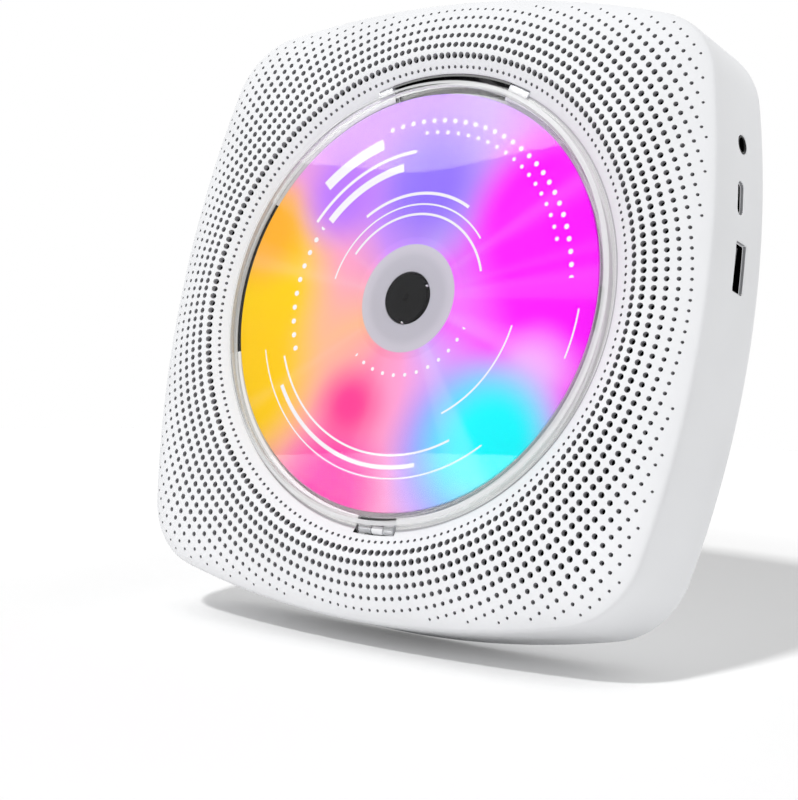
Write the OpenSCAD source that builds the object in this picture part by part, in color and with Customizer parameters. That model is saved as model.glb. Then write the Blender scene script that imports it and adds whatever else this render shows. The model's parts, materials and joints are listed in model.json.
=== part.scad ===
// Wall mounted disc player: a pillow-fronted square housing with a perforated face, a round
// disc well under a clear hinged cover, a spindle with its disc, and an optical drive inside.
// Every sub-part is drawn lying on its back: X to the right, Y up the wall, Z out of the wall.
// hang() then stands it up, so the finished player faces -Y with +Z up, and the origin is the
// middle of the flat back that meets the wall.

/* [Housing] */
// Width and height of the front edge, flat to flat
body_w = 177.7; // [170:0.1:190]
// Radius of the gentle bow of each side
side_r = 286.7; // [240:1:400]
// Radius of each corner
corner_r = 22.7; // [16:0.1:30]
// Height of the front edge above the wall
edge_z = 29.4; // [27:0.1:34]
// Rise of the crowned face above the front edge
crown_h = 5.5; // [3:0.1:7]
// Share of that rise that rolls over close to the edge
edge_roll = 1.6; // [0.8:0.1:2.4]
// Outward lean of each side from the front edge to the back
side_flare = 1.4; // [0.6:0.1:2.4]
// Thickness of the side wall
wall_t = 2.2; // [1.6:0.1:3]
// Gap between the wall and the back rim of the housing
back_gap = 0.8; // [0.4:0.1:1.4]
// Clearance between parts that drop into each other
fit_gap = 0.1; // [0.05:0.01:0.2]
// Running clearance between a shaft and its bore
run_gap = 0.05; // [0.02:0.01:0.09]

/* [Grille] */
// Distance from the well's wall to the innermost ring of holes
ring_in = 0.7; // [0.6:0.05:1.2]
// Distance from one ring of holes to the next
ring_pitch = 3; // [2.8:0.1:3.4]
// Holes in a full ring
ring_holes = 100; // [60:20:140]
// Number of rings, counted to the corners
ring_count = 13; // [7:1:13]
// Least distance from a hole's centre to the front edge
hole_margin = 1.8; // [1.6:0.1:3]
// Largest hole diameter
hole_d = 1.75; // [1:0.05:2]
// Hole diameter right at the front edge
hole_d_edge = 0.5; // [0.4:0.05:0.8]
// Distance over which the holes grow to full size
hole_fade = 17; // [10:1:25]
// Diameter of the fine holes in the innermost ring
lip_hole_d = 0.95; // [0.6:0.05:1.1]
// Thickness of the perforated face
grille_t = 1.6; // [1.2:0.1:2]
// Thickness of the dark cloth behind the face
cloth_t = 0.6; // [0.4:0.1:1]

/* [Disc well and cover] */
// Thickness of the well's wall
well_wall_t = 2.4; // [2:0.1:2.6]
// Height of the lip's inner edge
lip_z = 31.4; // [31.2:0.1:32]
// Clearance around the disc
disc_gap = 1.2; // [0.8:0.1:1.5]
// Width of the ledge under the cover
ledge_w = 3.7; // [3.4:0.1:4.2]
// Clearance around the cover
cover_gap = 0.5; // [0.4:0.05:0.8]
// Width of the cover's thick rim
rim_w = 2.2; // [1.8:0.1:2.4]
// Height of the cover's middle above the wall
cover_z = 35.7; // [35.5:0.1:37]
// Thickness of the clear window
window_t = 1.3; // [0.8:0.1:1.5]
// Middle of the hinge, to the right of the player's middle
hinge_x = 3.8; // [-5:0.1:5]
// Radius of the hinge knuckles
knuckle_r = 1.15; // [1:0.05:1.2]
// Radius of the hinge pin
pin_r = 0.55; // [0.4:0.05:0.6]
// Width of the housing's middle knuckle
ear_w = 3.7; // [3:0.1:5]
// Width of the cover's left knuckle
left_w = 4.2; // [3:0.1:4.5]
// Width of the cover's right knuckle
right_w = 3.2; // [3:0.1:4.5]

/* [Disc and spindle] */
// Radius of the disc
disc_r = 60; // [59:0.1:60]
// Thickness of the disc
disc_t = 1.2; // [1.1:0.1:1.5]
// Radius of the disc's centre hole
disc_hole_r = 7.5; // [7.5:0.1:8]
// Height of the face that carries the disc
seat_z = 31.4; // [31.3:0.1:31.6]
// Radius of the turntable
table_r = 14.5; // [12:0.1:15.5]
// Radius of the black hub that centres the disc
hub_r = 7.35; // [7:0.05:7.45]
// Radius of the motor shaft
shaft_r = 1; // [0.8:0.1:1.5]
// Radius of the spindle motor
motor_r = 12.2; // [10:0.1:13]

/* [Drive] */
// Top of the well's floor
floor_z = 29.5; // [29:0.1:29.6]
// Thickness of the well's floor
floor_t = 1.5; // [1:0.1:2]
// Top of the metal chassis
chassis_z = 24.2; // [24:0.1:24.6]
// Thickness of the metal chassis
chassis_t = 1.2; // [0.8:0.1:1.5]
// Travel of the optical pickup
sled_travel = 32; // [20:1:32]
// Distance of the lens from the spindle with the pickup at rest
lens_x = 24; // [24:0.1:26]
// Height of the guide rods and the lead screw
rod_z = 17; // [16.6:0.1:17.2]
// Radius of the guide rods
rod_r = 1.5; // [1:0.1:1.8]
// Distance of each guide rod from the spindle
rod_y = 19; // [18.5:0.1:20]
// Distance of the lead screw from the spindle
screw_y = 25; // [24.8:0.1:26]

/* [Sockets and buttons] */
// Height of the headphone socket above the middle of the player
jack_y = 49.5; // [46:0.5:52]
// Height of the small oval power socket
usbc_y = 34.5; // [32:0.5:38]
// Height of the flat memory-stick socket
usba_y = 16.1; // [12:0.1:20]
// Distance from one button to the next
button_pitch = 18; // [14:1:22]
// Diameter of each button
button_d = 8; // [6:0.1:9]
// Travel of each button
button_travel = 0.6; // [0.3:0.1:0.8]
// Distance of the buttons from the wall
button_z = 13; // [11:0.5:16]

/* [Speakers and mounting] */
// Clearance between each speaker and the corner's wall
speaker_out_gap = 1.5; // [1:0.1:3]
// Clearance between each speaker and the well
speaker_in_gap = 1.7; // [1:0.1:3]
// Clearance between each speaker and the ribs beside it
speaker_rib_gap = 3; // [2.6:0.1:4]
// Clearance between the rear bosses and the button board
boss_gap = 5.6; // [5:0.1:6.6]
// Distance between the wall bracket's hook slots, across
hook_x = 104; // [90:1:110]
// Distance between the wall bracket's hook slots, up
hook_y = 42; // [36:1:60]
// Length of each hook slot
hook_l = 12; // [8:1:16]
// Width of each hook slot
hook_w = 3.2; // [2.4:0.1:4]

/* [Hidden] */

$fn = 48;
// The outline: each side is an arc about side_c on its own axis, each corner an arc about a
// point corner_c along both axes, and they meet without a kink.
side_c = body_w / 2 - side_r;
corner_c = (side_c + sqrt(2 * pow(side_r - corner_r, 2) - pow(side_c, 2))) / 2;
join_a = atan2(corner_c, corner_c - side_c);

// The round sizes, from the disc outwards.
ledge_r = disc_r + disc_gap;
well_r = ledge_r + ledge_w;
well_out_r = well_r + well_wall_t;
cover_r = well_r - cover_gap;
ring_r = well_out_r + ring_in;
// The face turns down into the well half way between two rings of holes.
crest_r = ring_r + 1.5 * ring_pitch;

// An angle folded into the eighth of a turn from a side's middle to a corner.
function fold(a) = let (b = a - 90 * floor(a / 90)) b > 45 ? 90 - b : b;

// Distance from the middle to the outline at angle a, moved outwards by off.
function side_reach(b, off) =
    side_c * cos(b) + sqrt(pow(side_r + off, 2) - pow(side_c * sin(b), 2));
function corner_reach(b, off) =
    corner_c * (cos(b) + sin(b))
    + sqrt(pow(corner_r + off, 2) - pow(corner_c * (cos(b) - sin(b)), 2));
function on_side(r, b) = atan2(r * sin(b), r * cos(b) - side_c) <= join_a;
function edge_reach(a, off = 0) =
    let (b = fold(a), r = side_reach(b, off)) on_side(r, b) ? r : corner_reach(b, off);

// Distance from a point on the face to the front edge, square to that edge.
function edge_gap(r, a) =
    let (b = fold(a), x = r * cos(b), y = r * sin(b))
    on_side(r, b) ? side_r - norm([x - side_c, y])
                  : corner_r - norm([x - corner_c, y - corner_c]);

// Height of the crowned face: it falls off faster towards a side than towards a corner, and
// rolls over in the last few millimetres.
crest_z = edge_z + crown_h;
side_span = edge_reach(0) - crest_r;
corner_span = edge_reach(45) - crest_r;
fall_side = 1.36;
fall_corner = 2.4;
roll_l = 2.5;
function face_z(r, a) =
    let (
        span = edge_reach(a) - crest_r,
        w = max((r - crest_r) / span, 0),
        turn = (span - side_span) / (corner_span - side_span),
        fall = fall_side + (fall_corner - fall_side) * turn
    )
    crest_z - (crown_h - edge_roll) * pow(w, fall) - edge_roll * exp(-(1 - w) * span / roll_l);

// Height of the slope from the crest down into the well.
lip_rise = (crest_z - lip_z) / (crest_r - well_r);
function slope_z(r) = lip_z + (r - well_r) * lip_rise;

// The seam between the face and the side wall, this far inside the front edge.
seam = 0.9;
// The shell's columns stand half a hole pitch off the holes, so no hole meets a fold.
columns = ring_holes;
function column_a(j) = (j + 0.5) * 360 / columns;
function ring_points(r, z) =
    [for (j = [0:columns - 1]) [r * cos(column_a(j)), r * sin(column_a(j)), z]];
function face_points(w, drop) = [
    for (j = [0:columns - 1])
        let (a = column_a(j), r = crest_r + w * (edge_reach(a) - crest_r))
        [r * cos(a), r * sin(a), face_z(r, a) - drop]];
function seam_points(in, drop) = [
    for (j = [0:columns - 1])
        let (a = column_a(j), r = edge_reach(a, -in))
        [r * cos(a), r * sin(a), face_z(r, a) - drop]];
function rim_points(off, z) = [
    for (j = [0:columns - 1])
        let (a = column_a(j), r = edge_reach(a, off)) [r * cos(a), r * sin(a), z]];

// A closed band: a loop of sections carried round, each joined to the next and the last to
// the first.
module band(sections) {
    n = len(sections[0]);
    m = len(sections);
    points = [for (s = sections) each s];
    polyhedron(points, [
        for (i = [0:m - 1], j = [0:n - 1])
            let (
                a = i * n + j,
                b = i * n + (j + 1) % n,
                c = ((i + 1) % m) * n + (j + 1) % n,
                d = ((i + 1) % m) * n + j
            )
            each [[a, b, c], [a, c, d]]]);
}

// A flat plate with the housing's outline.
module outline_plate(off, z, t) {
    translate([0, 0, z])
        linear_extrude(t)
            polygon([for (p = rim_points(off, 0)) [p[0], p[1]]]);
}

module hang() {
    rotate([90, 0, 0]) children();
}

module ring(r_out, r_in, z, t) {
    translate([0, 0, z])
        difference() {
            cylinder(r = r_out, h = t);
            translate([0, 0, -1]) cylinder(r = r_in, h = t + 2);
        }
}

// A block given by its middle in X and Y and its lowest Z.
module block(x, y, z, size) {
    translate([x - size[0] / 2, y - size[1] / 2, z]) cube(size);
}

// A rod along X.
module rod_x(x, y, z, r, l) {
    translate([x, y, z]) rotate([0, 90, 0]) cylinder(r = r, h = l);
}

// A wedge of a ring, from angle a0 to a1.
module arc_block(r_in, r_out, a0, a1, z, t) {
    translate([0, 0, z])
        rotate([0, 0, a0])
            rotate_extrude(angle = a1 - a0, $fn = 96)
                translate([r_in, 0]) square([r_out - r_in, t]);
}

module at_corners(x, y) {
    for (sx = [-1, 1], sy = [-1, 1]) translate([sx * x, sy * y, 0]) children();
}

// ---- housing ----

flare_z = 26.5;
flare_off = 0.6;
back_off = flare_off + side_flare * 0.6;
function side_off(z) =
    flare_off + (back_off - flare_off) * (flare_z - z) / (flare_z - back_gap);
// Outer surface of the side wall at height z and angle a.
function wall_reach(a, z) = edge_reach(a, side_off(z));
cloth_gap = 0.1;
// The cloth's edge hangs lower than the face's, which is flat there on its inside.
edge_drop = 0.5;
rib_t = 2;
rib_z = 18;
rib_h = 8.4;
boss_r = 3.2;
pilot_r = 0.9;
corner_reach_in = corner_c * sqrt(2) + corner_r - wall_t;
speaker_r = (corner_reach_in - speaker_out_gap - speaker_in_gap - well_out_r) / 2;
speaker_reach = well_out_r + speaker_in_gap + speaker_r;
rib_y = speaker_r + speaker_rib_gap + rib_t / 2;
// How far a rib runs along its diagonal before it is halfway into the side wall.
rib_in = wall_t / 2;
rib_lean = -side_c * cos(45);
rib_side = pow(rib_y * cos(45) - side_c, 2) + pow(rib_y * sin(45), 2);
rib_reach = -rib_lean + sqrt(pow(rib_lean, 2) - rib_side + pow(side_r - rib_in, 2));
speaker_z = rib_z;
rear_t = 2.2;
button_x = [for (i = [-2:2]) i * button_pitch];
button_hole_gap = 0.2;
board_t = 1.2;
switch_h = 3.2;
collar_t = 1;
collar_gap = 0.3;
// Drop of the top wall's inner face from its middle to the outermost button's edge.
board_y = side_c + sqrt(pow(side_r, 2) - pow(button_x[4], 2)) - wall_t - 1.6 - collar_t - switch_h
    - board_t;
// The rear bosses stand on the ribs, just clear of the button board.
rear_y = board_y - boss_r - boss_gap;
rear_boss_t = rear_y / cos(45) - rib_y;
rear_x = (rear_boss_t - rib_y) * cos(45);
socket_z = 14;
usbc_z = 15;
usba_z = 13.2;
jack_hole_r = 2.6;
usbc_w = 8.94;
usbc_t = 3.2;
usba_w = 13.3;
usba_t = 5.6;
socket_gap = 0.12;
post_x = 46;

module usbc_outline(w, t) {
    straight = (w - t) / 2;
    for (s = [-1, 1]) translate([0, s * straight]) circle(d = t);
    square([t, 2 * straight], center = true);
}

// Extrudes an outline drawn with Z across and Y up, along X from x0 to x1.
module along_x(x0, x1, y, z) {
    translate([x0, y, z]) rotate([0, 90, 0]) linear_extrude(x1 - x0) children();
}

module side_openings() {
    x0 = body_w / 2 - 14;
    x1 = body_w / 2 + 6;
    rod_x(x0, jack_y, socket_z, jack_hole_r, x1 - x0);
    along_x(x0, x1, usbc_y, usbc_z) usbc_outline(usbc_w + 2 * socket_gap, usbc_t + 2 * socket_gap);
    along_x(x0, x1, usba_y, usba_z)
        square([usba_t + 2 * socket_gap, usba_w + 2 * socket_gap], center = true);
    for (x = button_x)
        translate([x, body_w / 2 - 14, button_z])
            rotate([-90, 0, 0]) cylinder(r = button_d / 2 + button_hole_gap, h = 20);
}

module ribs() {
    for (q = [0:3], s = [-1, 1])
        rotate([0, 0, 45 + 90 * q])
            translate([well_out_r * 0.92, s * rib_y - rib_t / 2, rib_z])
                cube([rib_reach - well_out_r * 0.92, rib_t, rib_h]);
}

module bosses() {
    at_corners(rear_x, rear_y)
        translate([0, 0, rear_t]) cylinder(r = boss_r, h = rib_z + rib_h - rear_t);
    for (q = [2, 3], s = [-1, 1])
        rotate([0, 0, 45 + 90 * q])
            translate([speaker_reach, s * rib_y, speaker_z]) cylinder(r = boss_r, h = rib_h);
    for (s = [-1, 1])
        translate([s * post_x, board_y + board_t, button_z])
            rotate([-90, 0, 0]) cylinder(r = 2.6, h = post_top - board_y - board_t);
}

module boss_pilots() {
    at_corners(rear_x, rear_y) translate([0, 0, rear_t - 1]) cylinder(r = pilot_r, h = 12);
    for (q = [2, 3], s = [-1, 1])
        rotate([0, 0, 45 + 90 * q])
            translate([speaker_reach, s * rib_y, speaker_z - 1]) cylinder(r = pilot_r, h = 7);
    for (s = [-1, 1])
        translate([s * post_x, board_y - 1, button_z])
            rotate([-90, 0, 0]) cylinder(r = 0.7, h = 4.4);
}

module front_shell() {
    color("white")
        difference() {
            union() {
                band([
                    seam_points(seam, 0),
                    rim_points(0, edge_z),
                    rim_points(0.4, edge_z - 1),
                    rim_points(flare_off, flare_z),
                    rim_points(side_off(2.2), 2.2),
                    rim_points(back_off - 0.3, 1.2),
                    rim_points(back_off - 0.8, back_gap),
                    rim_points(back_off - wall_t, back_gap),
                    rim_points(flare_off - wall_t, flare_z),
                    seam_points(seam, grille_t)]);
                difference() {
                    ribs();
                    translate([0, 0, rib_z - 1]) cylinder(r = well_out_r, h = rib_h + 2, $fn = 96);
                }
                bosses();
            }
            side_openings();
            boss_pilots();
        }
}

function hole_size(r, a, k) =
    k == 0 ? lip_hole_d
           : hole_d_edge + (hole_d - hole_d_edge) * sin(90 * min(edge_gap(r, a) / hole_fade, 1));

module grille_holes() {
    for (k = [0:ring_count - 1], j = [0:ring_holes - 1]) {
        r = ring_r + k * ring_pitch;
        a = j * 360 / ring_holes;
        if (edge_gap(r, a) >= hole_margin)
            rotate([0, 0, a])
                translate([r, 0, edge_z - 6])
                    cylinder(d = hole_size(r, a, k), h = crown_h + 8, $fn = 16);
    }
}

// Radius of the fold between the slope's two rows of holes.
slope_r = ring_r + ring_pitch / 2;
// Radius of the grille's inner corners, so that its straight edges clear the round well.
grille_in_r = well_out_r / cos(180 / columns) + 0.03;

module front_grille() {
    color("white")
        difference() {
            band([
                ring_points(grille_in_r, slope_z(grille_in_r)),
                ring_points(slope_r, slope_z(slope_r)),
                ring_points(crest_r, crest_z),
                face_points(0.25, 0),
                face_points(0.5, 0),
                face_points(0.72, 0),
                face_points(0.88, 0),
                seam_points(seam, 0),
                seam_points(seam, grille_t),
                face_points(0.72, grille_t),
                face_points(0.25, grille_t),
                ring_points(crest_r, crest_z - grille_t),
                ring_points(grille_in_r, slope_z(grille_in_r) - grille_t)]);
            grille_holes();
        }
}

module grille_cloth() {
    top = grille_t + cloth_gap;
    in_r = well_out_r + 0.2;
    color([0.16, 0.16, 0.17])
        band([
            ring_points(in_r, slope_z(in_r) - top),
            ring_points(crest_r, crest_z - top),
            face_points(0.25, top),
            face_points(0.72, top),
            seam_points(wall_t + 0.4, top + edge_drop),
            seam_points(wall_t + 0.4, top + edge_drop + cloth_t),
            face_points(0.72, top + cloth_t),
            face_points(0.25, top + cloth_t),
            ring_points(crest_r, crest_z - top - cloth_t),
            ring_points(in_r, slope_z(in_r) - top - cloth_t)]);
}

// ---- disc well, hinge ear and floor ----

well_low_z = floor_z - floor_t - 0.5;
cover_base_z = lip_z - 0.1;
ledge_top_z = cover_base_z - fit_gap;
notch_w = 1.3;
notch_r = well_r + notch_w;
notch_a = [71, 107];
tab_a = [64.6, 111.4];
side_slot_a = [154, 197];
slot_out_r = well_r - 0.6;
hinge_in = 0.3;
hinge_y = hinge_in - well_r;
hinge_z = lip_z + 0.1;
// The pocket around the hinge, longer on the left.
pocket_x0 = hinge_x - ear_w / 2 - left_w - 2.4;
pocket_x1 = hinge_x + ear_w / 2 + right_w + 0.7;
pocket_y = knuckle_r + 0.3 - hinge_y;

module disc_well() {
    color("white") {
        difference() {
            rotate_extrude($fn = 96)
                polygon([
                    [well_r, well_low_z], [well_out_r, well_low_z],
                    [well_out_r, slope_z(well_out_r)], [well_r, lip_z],
                    [well_r, ledge_top_z], [ledge_r, ledge_top_z],
                    [ledge_r, floor_z], [well_r, floor_z]]);
            arc_block(ledge_r - 1, notch_r, notch_a[0], notch_a[1], well_low_z - 1, 8);
            arc_block(slot_out_r, notch_r, tab_a[0] - 0.6, tab_a[1] + 0.6, floor_z, 8);
            arc_block(ledge_r - 1, slot_out_r, side_slot_a[0], side_slot_a[1], floor_z, 8);
            translate([pocket_x0, -pocket_y, floor_z])
                cube([pocket_x1 - pocket_x0, pocket_y - ledge_r + 1, 8]);
        }
        difference() {
            union() {
                rod_x(hinge_x - ear_w / 2, hinge_y, hinge_z, knuckle_r, ear_w);
                translate([hinge_x - ear_w / 2, -pocket_y - 0.1, floor_z])
                    cube([ear_w, pocket_y + hinge_y + 0.1, hinge_z - floor_z]);
            }
            rod_x(hinge_x - ear_w, hinge_y, hinge_z, pin_r, 2 * ear_w);
        }
    }
}

// Black liners that close the finger notch and the slot beside the disc.
liner_z = well_low_z + 0.1;
liner_t = 1.6;
liner_wall = 0.6;
// The notch is lined up to its lip, and the slot's liner lies just below the ledge.
liner_h = slope_z(notch_r) - fit_gap - liner_z - liner_t;
slot_liner_t = ledge_top_z - 0.2 - liner_z;

module recess_liners() {
    color([0.06, 0.06, 0.06]) {
        in_r = ledge_r + fit_gap;
        out_r = notch_r - fit_gap;
        arc_block(in_r, out_r, notch_a[0] + 0.1, notch_a[1] - 0.1, liner_z, liner_t);
        arc_block(out_r - liner_wall, out_r, notch_a[0] + 0.1, notch_a[1] - 0.1,
                  liner_z + liner_t - 0.01, liner_h);
        arc_block(in_r, slot_out_r - fit_gap, side_slot_a[0] + 0.1, side_slot_a[1] - 0.1,
                  liner_z, slot_liner_t);
    }
}

module hinge_pin() {
    color("silver")
        rod_x(hinge_x - ear_w / 2 - left_w, hinge_y, hinge_z, pin_r, ear_w + left_w + right_w);
}

slot_x = [lens_x - 7, lens_x + sled_travel + 5.2];
slot_w = 12;
sled_x = [lens_x - 9, lens_x + 6];
tray_r = well_r - fit_gap;
damper_x = 34;
damper_y = 24;
damper_flange_r = 4.4;
damper_r = 3.2;
damper_bore_r = 1.5;
damper_lip = 0.8;
tray_post_r = 3;

module disc_tray() {
    color("white")
        difference() {
            union() {
                translate([0, 0, floor_z - floor_t]) cylinder(r = tray_r, h = floor_t, $fn = 96);
                at_corners(damper_x, damper_y)
                    translate([0, 0, chassis_z + damper_lip])
                        cylinder(r = tray_post_r, h = floor_z - floor_t - chassis_z - damper_lip);
            }
            translate([0, 0, floor_z - floor_t - 1]) cylinder(r = 5, h = floor_t + 2);
            translate([slot_x[0], -slot_w / 2, floor_z - floor_t - 1])
                cube([slot_x[1] - slot_x[0], slot_w, floor_t + 2]);
            arc_block(ledge_r, tray_r + 1, notch_a[0], notch_a[1], floor_z - floor_t - 1, 6);
            arc_block(ledge_r, tray_r + 1, side_slot_a[0], side_slot_a[1], floor_z - floor_t - 1, 6);
            at_corners(damper_x, damper_y)
                translate([0, 0, chassis_z]) cylinder(r = pilot_r, h = 4.4);
        }
}

// ---- clear cover ----

rim_top_z = 34.9;
window_r = cover_r - rim_w - 0.6;
window_edge_z = rim_top_z;

module cover_knuckle(x0, w) {
    difference() {
        union() {
            rod_x(x0, hinge_y, hinge_z, knuckle_r, w);
            translate([x0, hinge_y, cover_base_z])
                cube([w, 2.4, hinge_z + knuckle_r - cover_base_z]);
        }
        rod_x(x0 - 1, hinge_y, hinge_z, pin_r + run_gap, w + 2);
    }
}

module cover_rim() {
    color([0.85, 0.88, 0.9, 0.5]) {
        difference() {
            rotate_extrude($fn = 96)
                polygon([
                    [cover_r - rim_w, cover_base_z], [cover_r, cover_base_z],
                    [cover_r, cover_base_z + 1.1], [cover_r - 0.8, cover_base_z + 2.3],
                    [window_r, rim_top_z], [window_r, rim_top_z - window_t],
                    [cover_r - rim_w, cover_base_z + 1.7]]);
            translate([hinge_x - ear_w / 2 - 0.25, hinge_y - 2, cover_base_z - 1])
                cube([ear_w + 0.5, 3.5, hinge_z + knuckle_r + 0.4 - cover_base_z + 1]);
            rod_x(hinge_x - 7, hinge_y, hinge_z, pin_r + run_gap, 14);
        }
        arc_block(cover_r - 0.5, notch_r - 0.4, tab_a[0], notch_a[0] - 0.2, cover_base_z, 0.8);
        arc_block(cover_r - 0.5, notch_r - 0.4, notch_a[1] + 0.2, tab_a[1], cover_base_z, 0.8);
        cover_knuckle(hinge_x - ear_w / 2 - 0.25 - left_w, left_w);
        cover_knuckle(hinge_x + ear_w / 2 + 0.25, right_w);
    }
}

module cover_window() {
    color([0.9, 0.92, 0.95, 0.3])
        rotate_extrude($fn = 96)
            polygon([
                [0, cover_z - window_t], [window_r * 0.45, cover_z - window_t - 0.12],
                [window_r * 0.78, cover_z - window_t - 0.4], [window_r, rim_top_z - window_t],
                [window_r, rim_top_z], [window_r * 0.78, cover_z - 0.4],
                [window_r * 0.45, cover_z - 0.12], [0, cover_z]]);
}

// ---- disc and spindle ----

hub_top_z = seat_z + 2;
ball_r = 0.5;
table_t = 1.5;

module disc() {
    color("orchid")
        difference() {
            union() {
                translate([0, 0, seat_z]) cylinder(r = disc_r, h = disc_t, $fn = 96);
                ring(17.2, 16.6, seat_z - 0.2, 0.3);
            }
            translate([0, 0, seat_z - 1]) cylinder(r = disc_hole_r, h = disc_t + 2);
        }
}

module turntable() {
    color([0.2, 0.2, 0.21])
        difference() {
            translate([0, 0, seat_z - table_t]) cylinder(r = table_r, h = table_t);
            ring(table_r - 1.4, table_r - 4.4, seat_z - 0.3, 1);
            translate([0, 0, seat_z - table_t - 1]) cylinder(r = shaft_r, h = table_t + 2);
        }
}

module ball_seats(extra) {
    for (i = [0:2])
        rotate([0, 0, 30 + 120 * i])
            translate([hub_r - 0.3, 0, seat_z + disc_t + 0.24]) sphere(r = ball_r + extra);
}

module hub_cap() {
    color([0.12, 0.12, 0.13])
        difference() {
            rotate_extrude()
                polygon([
                    [0, seat_z], [hub_r, seat_z], [hub_r, hub_top_z - 0.5],
                    [hub_r - 0.5, hub_top_z], [1.1, hub_top_z], [0, hub_top_z - 0.6]]);
            translate([0, 0, seat_z - 1]) cylinder(r = shaft_r, h = 1.9);
            ball_seats(0.02);
        }
}

module retaining_balls() {
    color("silver") ball_seats(0);
}

motor_h = 12.4;
motor_top = chassis_z - chassis_t;
motor_z = motor_top - motor_h;
bush_r = 2.4;

module spindle_shaft() {
    color("silver")
        translate([0, 0, motor_z + 2]) cylinder(r = shaft_r, h = seat_z + 0.9 - motor_z - 2);
}

module spindle_motor() {
    color("silver")
        difference() {
            union() {
                translate([0, 0, motor_z]) cylinder(r = motor_r, h = motor_top - motor_z);
                translate([0, 0, motor_top]) cylinder(r = 3.2, h = chassis_t + 0.6);
            }
            translate([0, 0, motor_z + 1.9]) cylinder(r = shaft_r + 0.3, h = 20);
            translate([0, 0, motor_top - 4]) cylinder(r = bush_r, h = 20);
        }
}

module spindle_bush() {
    color("goldenrod") ring(bush_r, shaft_r + run_gap, motor_top - 4, 4 + chassis_t + 0.6);
}

// ---- drive ----

lug_t = 1.5;
lug_x = [sled_x[0] - 6.5, sled_x[1] + sled_travel + 0.5];
chassis_x = [-damper_x - 6, lug_x[1] + lug_t];
chassis_half_y = damper_y + 4.6;
lug_low = rod_z - 2.8;
chassis_low = chassis_z - chassis_t;
screw_r = 1.5;
sled_motor_r = 5.5;
sled_motor_l = 16;
sled_z = [14.4, 19.6];

module chassis_lug(x, y, w) {
    translate([x, y - w / 2, lug_low]) cube([lug_t, w, chassis_low - lug_low + 0.2]);
}

module mech_chassis() {
    color("silver")
        difference() {
            union() {
                translate([chassis_x[0], -chassis_half_y, chassis_low])
                    cube([chassis_x[1] - chassis_x[0], 2 * chassis_half_y, chassis_t]);
                for (x = lug_x) {
                    chassis_lug(x, -rod_y, 7);
                    chassis_lug(x, rod_y, 7);
                }
                chassis_lug(lug_x[1], screw_y, 7);
                chassis_lug(sled_motor_x1, screw_y, 7);
            }
            translate([0, 0, chassis_low - 1]) cylinder(r = 3.2 + fit_gap, h = chassis_t + 2);
            translate([slot_x[0] - 0.6, -slot_w / 2 - 1, chassis_low - 1])
                cube([lug_x[1] - slot_x[0] - 0.4, slot_w + 2, chassis_t + 2]);
            at_corners(damper_x, damper_y)
                translate([0, 0, chassis_low - 1]) cylinder(r = damper_r, h = chassis_t + 2);
            for (s = [-1, 1])
                rod_x(lug_x[0] - 1, s * rod_y, rod_z, rod_r, lug_x[1] + lug_t - lug_x[0] + 2);
            rod_x(sled_motor_x1 - 1, screw_y, rod_z, screw_r + run_gap,
                  lug_x[1] + lug_t - sled_motor_x1 + 2);
        }
}

module dampers() {
    color([0.15, 0.15, 0.15])
        at_corners(damper_x, damper_y)
            difference() {
                union() {
                    translate([0, 0, chassis_low - damper_lip])
                        cylinder(r = damper_flange_r, h = damper_lip);
                    translate([0, 0, chassis_low]) cylinder(r = damper_r, h = chassis_t);
                    translate([0, 0, chassis_z]) cylinder(r = damper_flange_r, h = damper_lip);
                }
                translate([0, 0, chassis_low - 3]) cylinder(r = damper_bore_r, h = 8);
            }
}

module screw_up(z, r, l, head_r, head_t) {
    translate([0, 0, z - head_t]) cylinder(r = head_r, h = head_t);
    translate([0, 0, z - 0.01]) cylinder(r = r, h = l);
}

module damper_screws() {
    color("silver")
        at_corners(damper_x, damper_y)
            screw_up(chassis_low - damper_lip, pilot_r, 5.2, 2.6, 1.2);
}

module guide_rods() {
    color("silver")
        for (s = [-1, 1]) rod_x(lug_x[0], s * rod_y, rod_z, rod_r, lug_x[1] + lug_t - lug_x[0]);
}

sled_motor_x1 = 3;

module sled_motor() {
    color("silver")
        difference() {
            rod_x(sled_motor_x1 - sled_motor_l, screw_y, rod_z, sled_motor_r, sled_motor_l);
            rod_x(sled_motor_x1 - 4, screw_y, rod_z, screw_r + 0.3, 6);
        }
}

module lead_screw() {
    color("gray")
        difference() {
            rod_x(sled_motor_x1 - 3, screw_y, rod_z, screw_r, lug_x[1] + lug_t - sled_motor_x1 + 3);
            for (x = [sled_motor_x1 + 4:3:lug_x[1] - 4])
                translate([x, screw_y, rod_z])
                    rotate([0, 90, 0]) ring(screw_r + 1, screw_r - 0.25, 0, 0.8);
        }
}

module pickup_sled() {
    color([0.25, 0.25, 0.26])
        difference() {
            union() {
                translate([sled_x[0], -rod_y - 2.6, sled_z[0]])
                    cube([sled_x[1] - sled_x[0], 2 * rod_y + 5.2, sled_z[1] - sled_z[0]]);
                translate([sled_x[0] + 3, rod_y + 2, rod_z - 2.4])
                    cube([8, screw_y - rod_y + 0.6, 4.8]);
            }
            rod_x(sled_x[0] - 1, rod_y, rod_z, rod_r + run_gap, 30);
            translate([sled_x[0] - 1, -rod_y - 4, rod_z - rod_r - run_gap])
                cube([30, 4 + rod_r + 0.3, 2 * (rod_r + run_gap)]);
            rod_x(sled_x[0] - 1, screw_y, rod_z, screw_r + run_gap + 0.02, 30);
        }
}

holder_w = 10;
lens_top_z = floor_z - 0.1;
lens_t = 1.2;

module lens_holder() {
    color([0.3, 0.3, 0.32])
        difference() {
            block(lens_x, 0, sled_z[1], [holder_w, holder_w, lens_top_z - 0.5 - sled_z[1]]);
            translate([lens_x, 0, lens_top_z - lens_t]) cylinder(r = 2.6, h = 3);
        }
}

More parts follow.
